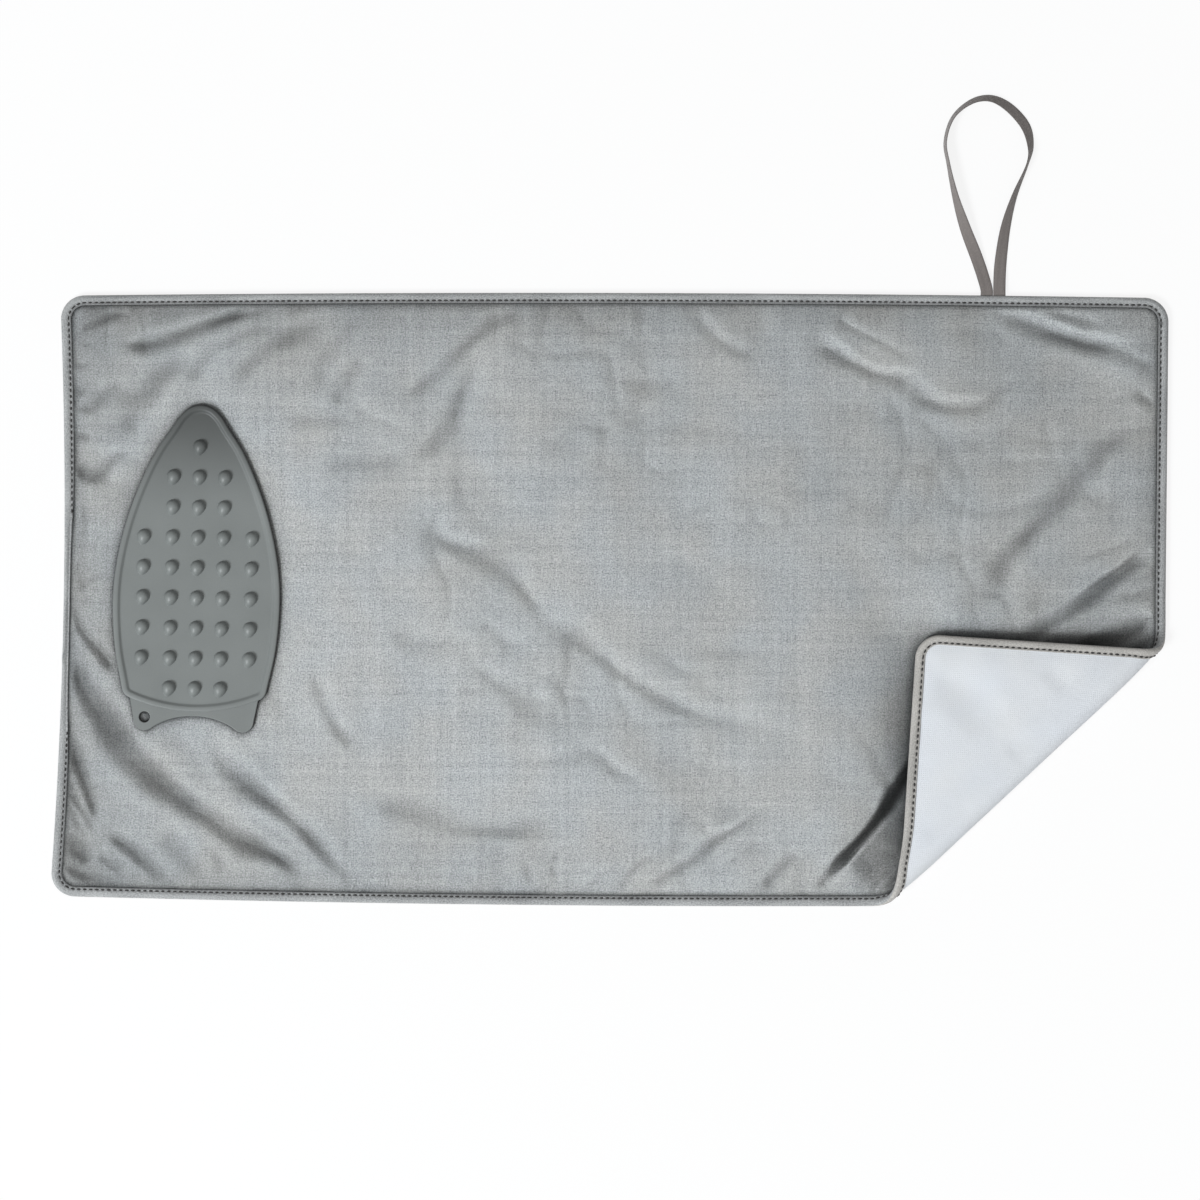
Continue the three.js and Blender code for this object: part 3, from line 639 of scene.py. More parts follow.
def cover_creases(flat, hollows=COVER_HOLLOWS):
    """How far the creases and hollows of the top cloth push it down."""
    spread = drifted(flat)
    depth = crease_depth(spread, COVER_CREASES) + crease_depth(spread, hollows, 0, 0) + crumples(spread)
    depth = np.where(depth > 0, DEEPEST_CREASE * np.tanh(depth / DEEPEST_CREASE), depth)
    return depth * (1 - in_roll(flat))


def in_roll(flat):
    """1 in the roll of the turned corner, easing to 0 on both sides of it."""
    past = drifted(flat) @ FOLD_OUT - FOLD_LEVEL
    return eased((past + ROLL_EASE) / ROLL_EASE) * eased((ROLL_LENGTH + ROLL_EASE - past) / ROLL_EASE)


def crumples(spread):
    """Faint lines where the top cloth has been folded and handled, strongest where they cross."""
    total = np.zeros(spread.shape[:-1])
    for depth, cell, seed in CRUMPLES:
        bend = np.stack([soft_noise(spread, 1.6 * cell, seed + k) for k in (1, 2)], axis=-1)
        lines = 1 - np.abs(soft_noise(spread + 0.5 * cell * bend, cell, seed))
        strength = eased(0.5 + 0.9 * soft_noise(spread, 2.2 * cell, seed + 3))
        total += depth * strength * lines**5
    return total


def painted_cloth_shade(flat):
    """Painted shade on the top cloth, 0 to 1: where it tucks under the tape, in its creases and along its
    left, front and back edges.
    """
    inset = edge_inset(flat)
    tuck = np.exp(-np.maximum(0, inset - TAPE_WIDTH * (1 - left_narrowing(flat))) / TUCK_FADE)
    valley = clamped(cover_creases(flat, ()) / VALLEY_DEPTH) ** VALLEY_POWER
    # Painted shade along the left, front and back edges, stronger towards the left
    from_edges = [flat[..., 0] + HALF_LENGTH, flat[..., 1] + HALF_WIDTH, HALF_WIDTH - flat[..., 1]]
    near_edges = sum(np.exp(-np.maximum(0, reach) / EDGE_FADE) for reach in from_edges)
    leftward = eased(0.5 - EDGE_LEFTWARD * flat[..., 0] / HALF_LENGTH)
    light = (1 - valley * VALLEY_SHADE) * (1 - clamped(near_edges) * leftward * EDGE_SHADE)
    return 1 - light * (1 - tuck * TUCK_SHADE)


def turned_by(points, angle):
    """Points of a plane turned about its origin."""
    turn = np.array([[math.cos(angle), -math.sin(angle)], [math.sin(angle), math.cos(angle)]])
    return points @ turn.T


def rest_place(flat):
    """Points of the mat in the iron rest's own plane, from the middle of its tail."""
    return turned_by(flat - REST_TAIL, -REST_TURN)


def under_rest(flat):
    """1 where the iron rest lies on the mat, easing to 0 round it."""
    across, along = np.moveaxis(rest_place(drifted(flat)), -1, 0)
    shares, places = zip(*REST_SIDE)
    half = np.interp(along / REST_LENGTH, places, shares)
    beside = eased((half * REST_WIDTH / 2 + REST_MARGIN - np.abs(across)) / REST_MARGIN)
    return beside * eased(1 + along / REST_MARGIN) * eased(1 + (REST_LENGTH - along) / REST_MARGIN)


def under_tip(flat):
    """1 where the tip of the turned corner touches the mat, easing to 0 round it."""
    tip = laid(np.array([HALF_LENGTH, -HALF_WIDTH]), np.array(PAD_THICKNESS))[:2]
    return np.exp(-((np.linalg.norm(drifted(flat) - tip, axis=-1) / TIP_MARGIN) ** 4))


def seam_puckers(flat):
    """Small gathers that run in from the seam, as rises and falls of the cloth."""
    from_side = HALF_LENGTH - np.abs(flat[..., 0])
    from_end = HALF_WIDTH - np.abs(flat[..., 1])
    total = np.zeros(flat.shape[:-1])
    for inset, run, seed in ((from_side, flat[..., 1], 11), (from_end, flat[..., 0], 12)):
        row = np.sign(flat[..., 0] + flat[..., 1]) * 0.4
        gathers = soft_noise(np.stack([run / PUCKER_LENGTH, row + inset / PUCKER_REACH], axis=-1), 1, seed)
        total += gathers * np.exp(-np.maximum(0, inset - TAPE_WIDTH) / PUCKER_FADE)
    return total * PUCKER_HEIGHT * eased((edge_inset(flat) - 0.7 * TAPE_WIDTH) / (0.5 * TAPE_WIDTH))


# Meshes


def add_piece(name, data):
    piece = bpy.data.objects.new(name, data)
    scene.collection.objects.link(piece)
    return piece


def grid_faces(rows, columns, start=0, wrap_rows=False, wrap_columns=False):
    """Quads over a grid of points, joined up where it closes on itself."""
    index = start + np.arange(rows * columns).reshape(rows, columns)
    if wrap_rows:
        index = np.vstack([index, index[:1]])
    if wrap_columns:
        index = np.hstack([index, index[:, :1]])
    quads = np.stack([index[:-1, :-1], index[1:, :-1], index[1:, 1:], index[:-1, 1:]], axis=-1)
    return quads.reshape(-1, 4).tolist()


def plain_mesh(name, points, faces):
    mesh = bpy.data.meshes.new(name)
    mesh.from_pydata(np.reshape(points, (-1, 3)).tolist(), [], faces)
    mesh.polygons.foreach_set("use_smooth", [True] * len(mesh.polygons))
    return mesh


def note(mesh, name, values):
    """Keeps a value, or three, for each point of a mesh, for its material to read."""
    values = np.asarray(values, np.float32)
    kind, field = ("FLOAT_VECTOR", "vector") if values.ndim == 2 else ("FLOAT", "value")
    mesh.attributes.new(name, kind, "POINT").data.foreach_set(field, values.ravel())


def points_of(mesh):
    flat = np.zeros(3 * len(mesh.vertices), np.float32)
    mesh.vertices.foreach_get("co", flat)
    return flat.reshape(-1, 3).astype(float)


def move_points(mesh, points):
    mesh.vertices.foreach_set("co", points.astype(np.float32).ravel())


def halved(mesh, turned):
    """The half of a mesh in the plane of the cut that lies before the top of the fold, or the turned half."""
    half = bmesh.new()
    half.from_mesh(mesh)
    closed = not any(edge.is_boundary for edge in half.edges)
    bmesh.ops.bisect_plane(
        half,
        geom=[*half.verts, *half.edges, *half.faces],
        dist=1e-7,
        plane_co=(*(FOLD_OUT * (FOLD_LEVEL + ROLL_TOP)), 0),
        plane_no=(*FOLD_OUT, 0),
        clear_inner=turned,
        clear_outer=not turned,
    )
    if closed:
        bmesh.ops.holes_fill(half, edges=[edge for edge in half.edges if edge.is_boundary])
    made = bpy.data.meshes.new(mesh.name)
    half.to_mesh(made)
    half.free()
    return made


def cut_size(mesh):
    """The size that a cloth was cut to, and its area there, before it is laid down."""
    corners = points_of(mesh)[:, :2]
    area = 0
    for face in mesh.polygons:
        ring = corners[list(face.vertices)]
        following = np.roll(ring, -1, axis=0)
        area += abs(np.sum(ring[:, 0] * following[:, 1] - ring[:, 1] * following[:, 0])) / 2
    return np.ptp(corners, axis=0).tolist(), float(area)


def lay_down(mesh, facing=0):
    """Carries a mesh in the plane of the cut to where the cloth lies, and keeps its place in the cut.

    Where it was cut at the top of the fold, a cloth's normals point the way that the whole cloth faced there.
    """
    cut = points_of(mesh)
    note(mesh, "cut", cut * [1, 1, 0])
    move_points(mesh, laid(cut[:, :2], cut[:, 2]))
    mesh.update()
    if facing:
        at_top = np.abs(cut[:, :2] @ FOLD_OUT - FOLD_LEVEL - ROLL_TOP) < 1e-5
        outward = np.array([*(FOLD_OUT * math.sin(ROLL_HALF)), -math.cos(ROLL_HALF)])
        mesh.normals_split_custom_set_from_vertices((at_top[:, None] * outward * facing).tolist())
    return mesh


def joined(name, meshes):
    whole = bmesh.new()
    for mesh in meshes:
        whole.from_mesh(mesh)
    made = bpy.data.meshes.new(name)
    whole.to_mesh(made)
    whole.free()
    return made


# Nodes


class Wire:
    """A socket of a node tree. Sums and products of wires add Math nodes."""

    def __init__(self, tree, socket=None):
        self.tree = tree
        self.socket = socket

    def node(self, kind, settings, values, output=0):
        """Adds a node, with its settings first and then the values or wires of its sockets."""
        made = self.tree.nodes.new(kind)
        for name, value in settings.items():
            setattr(made, name, value)
        for key, value in values.items():
            if isinstance(value, Wire):
                self.tree.links.new(value.socket, made.inputs[key])
            else:
                made.inputs[key].default_value = value
        return Wire(self.tree, made.outputs[output]) if made.outputs else None

    def also(self, output):
        """Another output of the same node."""
        return Wire(self.tree, self.socket.node.outputs[output])

    def maths(self, operation, *values):
        return self.node("ShaderNodeMath", {"operation": operation}, dict(enumerate(values)))

    def __add__(self, other):
        return self.maths("ADD", self, other)

    __radd__ = __add__

    def __sub__(self, other):
        return self.maths("SUBTRACT", self, other)

    def __rsub__(self, other):
        return self.maths("SUBTRACT", other, self)

    def __mul__(self, other):
        return self.maths("MULTIPLY", self, other)

    __rmul__ = __mul__

    def __pow__(self, other):
        return self.maths("POWER", self, other)


def tinted(share, low, high):
    """A colour between two, by a wire from 0 to 1."""
    mix = {"data_type": "RGBA", "clamp_factor": True}
    low, high = (value if isinstance(value, Wire) else (*value, 1) for value in (low, high))
    return share.node("ShaderNodeMix", mix, {0: share, 6: low, 7: high}, 2)


def shaded(colour, share):
    """A colour times a wire."""
    mix = {"data_type": "RGBA", "blend_type": "MULTIPLY"}
    return share.node("ShaderNodeMix", mix, {0: 1.0, 6: colour, 7: share}, 2)


def flecks(place, size, detail=2.0):
    """Noise about 0.5, with flecks of a size along each axis, in metres."""
    scaled = place.node(
        "ShaderNodeVectorMath", {"operation": "MULTIPLY"}, {0: place, 1: tuple(1 / edge for edge in size)}
    )
    return place.node("ShaderNodeTexNoise", {}, {"Vector": scaled, "Scale": 1.0, "Detail": detail})


def ribs(value, pitch):
    """A wave from -1 to 1 along a wire in metres."""
    angle = value * (2 * math.pi / pitch)
    return angle.maths("SINE", angle)


def part_of(vector):
    """The x and y of a vector wire."""
    x = vector.node("ShaderNodeSeparateXYZ", {}, {0: vector})
    return x, x.also("Y")


def ranged(value, low, high):
    """A wire from 0 at one value to 1 at another, eased."""
    settings = {"interpolation_type": "SMOOTHSTEP"}
    return value.node("ShaderNodeMapRange", settings, {"Value": value, "From Min": low, "From Max": high})


def raised(height, depth, strength=1.0):
    """The normal of a surface with a bump of some depth, in metres."""
    return height.node("ShaderNodeBump", {}, {"Height": height, "Distance": depth, "Strength": strength})


def noted(wire, name, output="Vector"):
    """What note() kept on the mesh."""
    return wire.node("ShaderNodeAttribute", {"attribute_name": name}, {}, output)


def new_finish(name):
    finish = bpy.data.materials.new(name)
    finish.use_nodes = True
    finish.node_tree.nodes.clear()
    return finish, Wire(finish.node_tree)


def surfaced(finish, wire, values):
    shader = wire.node("ShaderNodeBsdfPrincipled", {}, values)
    wire.node("ShaderNodeOutputMaterial", {}, {"Surface": shader})
    return finish


# Finishes


def silver_cloth_finish():
    finish, wire = new_finish("silver_cloth")
    cut = noted(wire, "cut")
    painted_shade = noted(wire, "painted_shade", "Fac")
    speckle = flecks(cut, (1.3 * MM, 1.3 * MM, 1))
    warp = flecks(cut, (0.9 * MM, 9 * MM, 1))
    weft = flecks(cut, (9 * MM, 0.9 * MM, 1))
    slubs = flecks(cut, (5 * MM, 170 * MM, 1), 1.0) + flecks(cut, (170 * MM, 5 * MM, 1), 1.0)
    patch = flecks(cut, (60 * MM, 60 * MM, 1), 1.0)
    tone = (speckle - 0.5) * 1.8 + (warp - 0.5) * 0.65 + (weft - 0.5) * 0.5 + (slubs - 1) * 0.28 + 0.5
    metal = tinted(tone, (0.214, 0.224, 0.228), (0.605, 0.619, 0.619))
    tint = tinted(ranged(patch, 0.3, 0.7), (0.98, 0.997, 1.01), (1.015, 1.0, 0.98))
    # Painted shade: the colour is darkened by ambient occlusion from what stands over the cloth, and by the
    # painted shade kept on the mesh
    occlusion = wire.node("ShaderNodeAmbientOcclusion", {"samples": 8}, {"Distance": OCCLUSION_REACH}, "AO")
    colour = shaded(shaded(shaded(metal, tint), 1 - painted_shade), occlusion**OCCLUSION_POWER)
    x, y = part_of(cut)
    weave = ribs(x, 0.9 * MM) * ribs(y, 0.9 * MM) * 0.5 + speckle * 1.2
    values = {
        "Base Color": colour,
        "Metallic": 0.8,
        "Roughness": (speckle - 0.5) * 0.25 + 0.38,
        "Normal": raised(weave, 0.16 * MM),
        "Sheen Weight": 0.08,
    }
    return surfaced(finish, wire, values)


def white_cloth_finish():
    finish, wire = new_finish("white_cloth")
    cut = noted(wire, "cut")
    x, y = part_of(cut)
    dots = ranged(ribs(x + y, 3.2 * MM) * ribs(x - y, 3.2 * MM), 0.25, 0.85)
    threads = ribs(x, 0.7 * MM) * ribs(y, 0.7 * MM)
    mottle = flecks(cut, (2 * MM, 2 * MM, 1))
    patch = flecks(cut, (45 * MM, 45 * MM, 1), 1.0)
    plain = tinted(patch, (0.665, 0.698, 0.75), (0.731, 0.746, 0.76))
    colour = shaded(plain, 1 - dots * 0.10 + (mottle - 0.5) * 0.12)
    values = {
        "Base Color": colour,
        "Roughness": 0.85,
        "Normal": raised(threads * 0.4 - dots + mottle, 0.12 * MM),
        "Sheen Weight": 0.1,
    }
    return surfaced(finish, wire, values)


def felt_finish():
    finish, wire = new_finish("felt")
    place = wire.node("ShaderNodeTexCoord", {}, {}, "Object")
    fibres = flecks(place, (0.5 * MM, 4 * MM, 1.5 * MM), 4.0)
    lumps = flecks(place, (12 * MM, 12 * MM, 12 * MM))
    colour = tinted(fibres * 0.7 + lumps * 0.3, (0.66, 0.64, 0.58), (0.86, 0.85, 0.80))
    values = {"Base Color": colour, "Roughness": 0.95, "Normal": raised(fibres + lumps, 0.4 * MM)}
    return surfaced(finish, wire, values)


def binding_tape_finish():
    finish, wire = new_finish("binding_tape")
    tape = noted(wire, "tape")
    under = noted(wire, "under", "Fac")
    run, inset = part_of(tape)
    twill = ribs(run + inset, 0.9 * MM)
    mottle = flecks(tape, (1.4 * MM, 0.9 * MM, 1))
    drift = flecks(tape, (40 * MM, 8 * MM, 1), 1.0)
    inside, outside = SEAM_INSET + SEAM_PULL, SEAM_INSET - SEAM_PULL
    pulled = ranged(inset, outside, SEAM_INSET) * (1 - ranged(inset, SEAM_INSET, inside))
    puckers = ribs(run, STITCH_PITCH) * pulled
    tone = (mottle - 0.5) * 1.7 + (drift - 0.5) * 0.7 + 0.5
    # Painted light and shade: one tape is coloured darker on its upper side and lighter on its underside,
    # which faces up on the turned corner
    top = tinted(tone, (0.145, 0.15, 0.152), (0.49, 0.5, 0.502))
    below = tinted(tone, (0.24, 0.232, 0.218), (0.56, 0.54, 0.51))
    # Painted shade: the tape darkens along its seam and on the strip inside the seam, where it meets the top
    # cloth
    flange_shade = ranged(inset, SEAM_INSET + 0.2 * MM, SEAM_INSET + 1.4 * MM) * (1 - under)
    colour = shaded(tinted(under, top, below), 1 - pulled * 0.18 - flange_shade * 0.4)
    values = {
        "Base Color": colour,
        "Roughness": (mottle - 0.5) * 0.2 + 0.62,
        "Normal": raised(twill * 0.25 + mottle * 0.8 + puckers * 1.6, 0.16 * MM),
        "Sheen Weight": 0.15,
    }
    return surfaced(finish, wire, values)


def seam_thread_finish():
    finish, wire = new_finish("seam_thread")
    place = wire.node("ShaderNodeTexCoord", {}, {}, "Object")
    fibres = flecks(place, (0.3 * MM, 0.3 * MM, 0.3 * MM))
    # Painted shade in part: the thread is coloured near black, dark enough to stand also for the shade in its
    # needle holes
    colour = tinted(fibres, (0.014, 0.013, 0.013), (0.045, 0.042, 0.040))
    values = {"Base Color": colour, "Roughness": 0.7, "Normal": raised(fibres, 0.1 * MM)}
    return surfaced(finish, wire, values)


def ribbon_finish():
    finish, wire = new_finish("ribbon")
    strip = noted(wire, "strip")
    run, across = part_of(strip)
    twill = ribs(run + across * 0.8, 1.1 * MM)
    picks = ribs(run, 0.55 * MM) * ribs(across, 0.8 * MM)
    mottle = flecks(strip, (1.5 * MM, 0.7 * MM, 1))
    edge = RIBBON_WIDTH / 2
    selvedge = ranged(across.maths("ABSOLUTE", across), edge - 1.1 * MM, edge - 0.5 * MM)
    tone = twill * 0.12 + (mottle - 0.5) * 0.8 + 0.5
    colour = shaded(tinted(tone, (0.115, 0.101, 0.095), (0.285, 0.252, 0.238)), 1 - selvedge * 0.2)
    values = {
        "Base Color": colour,
        "Roughness": (mottle - 0.5) * 0.2 + 0.68,
        "Normal": raised(twill * 0.6 + picks * 0.4 + selvedge, 0.18 * MM),
        "Sheen Weight": 0.2,
    }
    return surfaced(finish, wire, values)


def silicone_finish():
    finish, wire = new_finish("silicone")
    place = wire.node("ShaderNodeTexCoord", {}, {}, "Object")
    cloud = flecks(place, (35 * MM, 35 * MM, 35 * MM))
    dust = flecks(place, (0.9 * MM, 0.9 * MM, 0.9 * MM))
    grain = flecks(place, (0.35 * MM, 0.35 * MM, 0.35 * MM))
    _, y = part_of(place)
    tone = (cloud - 0.5) * 0.4 + (dust - 0.5) * 0.35 + 0.66
    grey = tinted(tone, (0.12, 0.131, 0.128), (0.215, 0.23, 0.226))
    # Painted shade, darker towards the rest's tip
    colour = shaded(grey, 1 - ranged(y, *REST_TIP) * REST_TIP_SHADE)
    values = {
        "Base Color": colour,
        "Roughness": (dust - 0.5) * 0.2 + 0.42,
        "Normal": raised(grain, 0.05 * MM),
        "Specular IOR Level": 0.4,
    }
    return surfaced(finish, wire, values)


FINISHES = {
    "silver_cloth": silver_cloth_finish(),
    "white_cloth": white_cloth_finish(),
    "felt": felt_finish(),
    "binding_tape": binding_tape_finish(),
    "seam_thread": seam_thread_finish(),
    "ribbon": ribbon_finish(),
    "silicone": silicone_finish(),
}


def finished(name, mesh, finish):
    """A piece of the object in one of the record's finishes."""
    mesh.materials.clear()
    mesh.materials.append(FINISHES[finish])
    return add_piece(name, mesh)


def bend_at_fold(piece):
    """Bakes one half of a cloth's placement into its points."""
    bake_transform(piece)


# Cloth


def settled(flat, held):
    """How far slack cloth with its seams held moves, at each point of a grid, in a short cloth simulation."""
    seeds = waves(flat, CLOTH_SEEDS) - cover_creases(flat) * (1 - held)
    points = np.concatenate([flat, seeds[..., None]], axis=-1)
    cloth = add_piece("slack_cloth", plain_mesh("slack_cloth", points, grid_faces(*flat.shape[:-1])))
    pins = cloth.vertex_groups.new(name="held")
    slack = cloth.vertex_groups.new(name="slack")
    near_seam = np.exp(-np.maximum(0, edge_inset(flat) - TAPE_WIDTH) / SLACK_REACH)
    for index, (pin, loose) in enumerate(zip(held.ravel().tolist(), near_seam.ravel().tolist())):
        pins.add([index], pin, "REPLACE")
        slack.add([index], loose, "REPLACE")
    modifier = cloth.modifiers.new("settle", "CLOTH")
    modifier.collision_settings.use_collision = False
    settings = modifier.settings
    settings.quality = 4
    settings.mass = 0.1
    settings.tension_stiffness = settings.compression_stiffness = 20
    settings.shear_stiffness = 8
    settings.bending_stiffness = 40
    settings.tension_damping = settings.compression_damping = settings.shear_damping = 8
    settings.bending_damping = 1
    settings.vertex_group_mass = "held"
    settings.vertex_group_shrink = "slack"
    settings.shrink_min = -SLACK_MIDDLE
    settings.shrink_max = -SLACK_EDGE
    settings.effector_weights.gravity = 0
    for step in range(1, CLOTH_STEPS + 1):
        scene.frame_set(step)
    result = cloth.evaluated_get(bpy.context.evaluated_depsgraph_get()).data
    moved = points_of(result).reshape(points.shape) - points
    bpy.data.objects.remove(cloth)
    scene.frame_set(1)
    for axis in (0, 1, 0, 1):
        rows = np.moveaxis(moved, axis, 0)
        rows[1:-1] = (rows[:-2] + 2 * rows[1:-1] + rows[2:]) / 4
    reach = np.linalg.norm(moved, axis=-1, keepdims=True)
    share = mixed(CLOTH_CALM, 1, near_seam)[..., None]
    return moved * share * CLOTH_LIMIT / np.hypot(CLOTH_LIMIT, reach)


def cloth_grid():
    """The cloths' points in the cut at full fineness, and how far the slack top cloth has moved there."""
    coarse = cut_grid(CLOTH_INSET, CLOTH_STEP)
    by_seam = eased((TAPE_WIDTH + SEAM_HOLD - edge_inset(coarse)) / SEAM_HOLD_FADE)
    held = np.maximum(by_seam, under_rest(coarse))
    moved = settled(coarse, held)
    return [refined(refined(field, 0), 1) for field in (coarse, moved)]


def cover_height(flat, creases):
    rise = mixed(PRESSED_HIGH, PAD_THICKNESS, loft(flat))
    swell = waves(flat, COVER_WAVES) * (1 - in_roll(flat)) - creases
    return rise + swell * eased((edge_inset(flat) - TAPE_WIDTH) / CREASE_FROM_TAPE) + seam_puckers(flat)


def backing_height(flat):
    spread = drifted(flat)
    along = (spread - FOLD_FRONT_END) @ FOLD_ALONG
    past = spread @ FOLD_OUT - FOLD_LEVEL
    dents = crease_depth(np.stack([along, past], axis=-1), FLAP_CREASES)
    swell = dents + waves(flat, BACKING_WAVES) + 0.5 * seam_puckers(-flat)
    flush = mixed(PRESSED_LOW, BACKING_LIFT, loft(flat))
    return np.maximum(BACKING_LEAST, flush + eased(past / ROLL_LENGTH) * swell)


def lowest_near(heights):
    """The lowest of the heights up to two places away on a grid, so that what is under them stays under."""
    padded = np.pad(heights, 2, mode="edge")
    rows, columns = heights.shape
    shifts = [padded[i : i + rows, j : j + columns] for i in range(5) for j in range(5)]
    return np.min(shifts, axis=0)


def make_cloths(flat, moved, top, bottom):
    """Top cloth and backing, each in a flat half and a turned half."""
    faces = grid_faces(*flat.shape[:-1])
    cover = plain_mesh("cover", np.dstack([flat + moved[..., :2], top]), faces)
    # The top cloth's painted shade, kept for its colour to read
    note(cover, "painted_shade", painted_cloth_shade(flat).ravel())
    backing = plain_mesh("backing", np.dstack([flat, bottom]), [face[::-1] for face in faces])
    layers = [
        ("cover_cloth", cover, "silver_cloth", -1, PAD_THICKNESS, "flap_cover", ("fold_cover", "top_cover")),
        ("backing_cloth", backing, "white_cloth", 1, 0, "flap_backing", ("fold_backing", "backing")),
    ]
    for turned, ending in HALVES:
        for name, cloth, finish, facing, height, flap_node, flat_nodes in layers:
            half = halved(cloth, turned)
            size, area = cut_size(half)
            piece = finished(name + ending, lay_down(half, facing), finish)
            bend_at_fold(piece)
            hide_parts(*([flap_node] if turned else flat_nodes))


def rim_of(rows, columns):
    """The places round the rim of a grid of points, in order."""
    return np.concatenate(
        [
            np.arange(rows) * columns,
            (rows - 1) * columns + np.arange(1, columns),
            np.arange(rows - 2, -1, -1) * columns + columns - 1,
            np.arange(columns - 2, 0, -1),
        ]
    )


def make_batt(flat, top, bottom):
    """The wadding between the cloths, on a grid half as fine, in a flat half and a turned half."""
    thin = (slice(None, None, 2), slice(None, None, 2))
    place, over, below = flat[thin], lowest_near(top)[thin], bottom[thin]
    middle = (over + below) / 2
    thinner = ROLL_THINNING * in_roll(place)
    upper = mixed(np.maximum(over - WADDING_GAP, middle + WADDING_LEAST), middle, thinner)
    lower = mixed(np.minimum(below + WADDING_GAP, middle - WADDING_LEAST), middle, thinner)
    rows, columns = middle.shape
    count = rows * columns
    rim = rim_of(rows, columns)
    walls = np.stack([rim + count, np.roll(rim, -1) + count, np.roll(rim, -1), rim], axis=1)
    faces = [
        *grid_faces(rows, columns),
        *[face[::-1] for face in grid_faces(rows, columns, count)],
        *walls.tolist(),
    ]
    batt = plain_mesh("batt", np.concatenate([np.dstack([place, upper]), np.dstack([place, lower])]), faces)
    for turned, ending in HALVES:
        piece = finished("wadding_batt" + ending, lay_down(halved(batt, turned)), "felt")
        bend_at_fold(piece)
        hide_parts(*(["flap_wadding"] if turned else ["wadding", "fold_wadding"]))


def make_quilt():
    """Top cloth, backing and wadding, with the top cloth pressed flat under the rest and the turned tip."""
    flat, moved = cloth_grid()
    top = np.maximum(cover_height(flat, cover_creases(flat)) + moved[..., 2], LEAST_THICKNESS)
    pressed = np.maximum(under_rest(flat), under_tip(flat)) > 0.5
    top = np.where(pressed, np.minimum(top, PAD_THICKNESS + PRESSED_SLACK), top)
    bottom = backing_height(flat)
    make_cloths(flat, moved, top, bottom)
    make_batt(flat, top, bottom)


# Binding and stitches


def outline_ring(step):
    """Points round the cut's rounded outline, anticlockwise, and the way in from each."""
    core = np.array([HALF_LENGTH, HALF_WIDTH]) - CORNER_RADIUS
    ends, ways = [], []
    for quarter, signs in enumerate([(1, 1), (-1, 1), (-1, -1), (1, -1)]):
        angles = (quarter + np.linspace(0, 1, CORNER_STEPS)) * math.pi / 2
        out = np.stack([np.cos(angles), np.sin(angles)], axis=-1)
        ends.append(core * signs + out * CORNER_RADIUS)
        ways.append(-out)
    points, inward = [], []
    for corner, way, following in zip(ends, ways, ends[1:] + ends[:1]):
        gap = following[0] - corner[-1]
        share = np.linspace(0, 1, round(np.linalg.norm(gap) / step) + 1)[1:-1, None]
        points += [corner, corner[-1] + share * gap]
        inward += [way, np.repeat(way[-1:], len(share), axis=0)]
    return np.vstack(points), np.vstack(inward)


def lap_rise(points):
    """Where the tape's ends lap on the left edge, 0 to 1, and the knot of cloth at the lap's front end."""
    on_left = points[:, 0] < -0.9 * HALF_LENGTH
    y = points[:, 1]
    lap = eased((LAP_BACK - y) / (1.5 * MM)) * eased((y - LAP_FRONT) / (4 * MM))
    knot = np.exp(-(((y - LAP_FRONT) / KNOT_SPREAD) ** 2))
    return on_left * lap, on_left * knot


def make_binding():
    """One tape folded over the edge all round, puffed outside its seam."""
    points, inward = outline_ring(TAPE_STEP)
    run = np.concatenate([[0], np.cumsum(np.linalg.norm(np.diff(points, axis=0), axis=1))])
    section = tape_section()
    inset, height = section[:, 0] * MM, section[:, 1] * MM
    narrow = 1 - left_narrowing(points)[:, None]
    lap, knot = lap_rise(points)
    puff = soft_noise(np.stack([run, 0 * run], axis=-1), PUFF_LENGTH, PUFF_SEED)[:, None]
    outer = np.exp(-(((inset - PUFF_MIDDLE) / PUFF_SPREAD) ** 2))
    side = np.where(height > TAPE_MIDDLE, 1, -1)
    insets = inset * narrow - knot[:, None] * KNOT_OUT * outer
    heights = height + side * outer * (PUFF_HEIGHT * puff + LAP_HEIGHT * lap[:, None])
    heights = heights + np.where(side > 0, outer * KNOT_HEIGHT * knot[:, None], 0)
    flat = points[:, None] + inward[:, None] * insets[..., None]
    faces = grid_faces(len(points), len(section), 0, True, True)
    ring = plain_mesh("tape", np.concatenate([flat, heights[..., None]], axis=-1), faces)
    runs = np.repeat(run[:, None], len(section), 1)
    note(ring, "tape", np.dstack([runs, insets, 0 * insets]).reshape(-1, 3))
    note(ring, "under", np.tile((side < 0).astype(float), len(points)))
    for turned, ending in HALVES:
        piece = finished("binding_tape" + ending, lay_down(halved(ring, turned)), "binding_tape")
        bend_at_fold(piece)
        nodes = ["flap_binding"] if turned else ["edge_binding", "fold_binding_side", "fold_binding_front"]
        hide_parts(*nodes)


def tape_section():
    """The tape's closed section: its outside from the upper edge down, and back inside half as fine."""
    above = smooth_route(TAPE_TOP, 3)
    below = smooth_route(TAPE_BELOW, 3)
    outside = np.vstack([above, below[1:]])
    ahead = np.gradient(outside, axis=0)
    ahead /= np.linalg.norm(ahead, axis=1, keepdims=True)
    inside = outside + np.stack([-ahead[:, 1], ahead[:, 0]], axis=1) * TAPE_THICKNESS / MM * TAPE_PRESSED
    return np.vstack([outside, inside[::-2]])


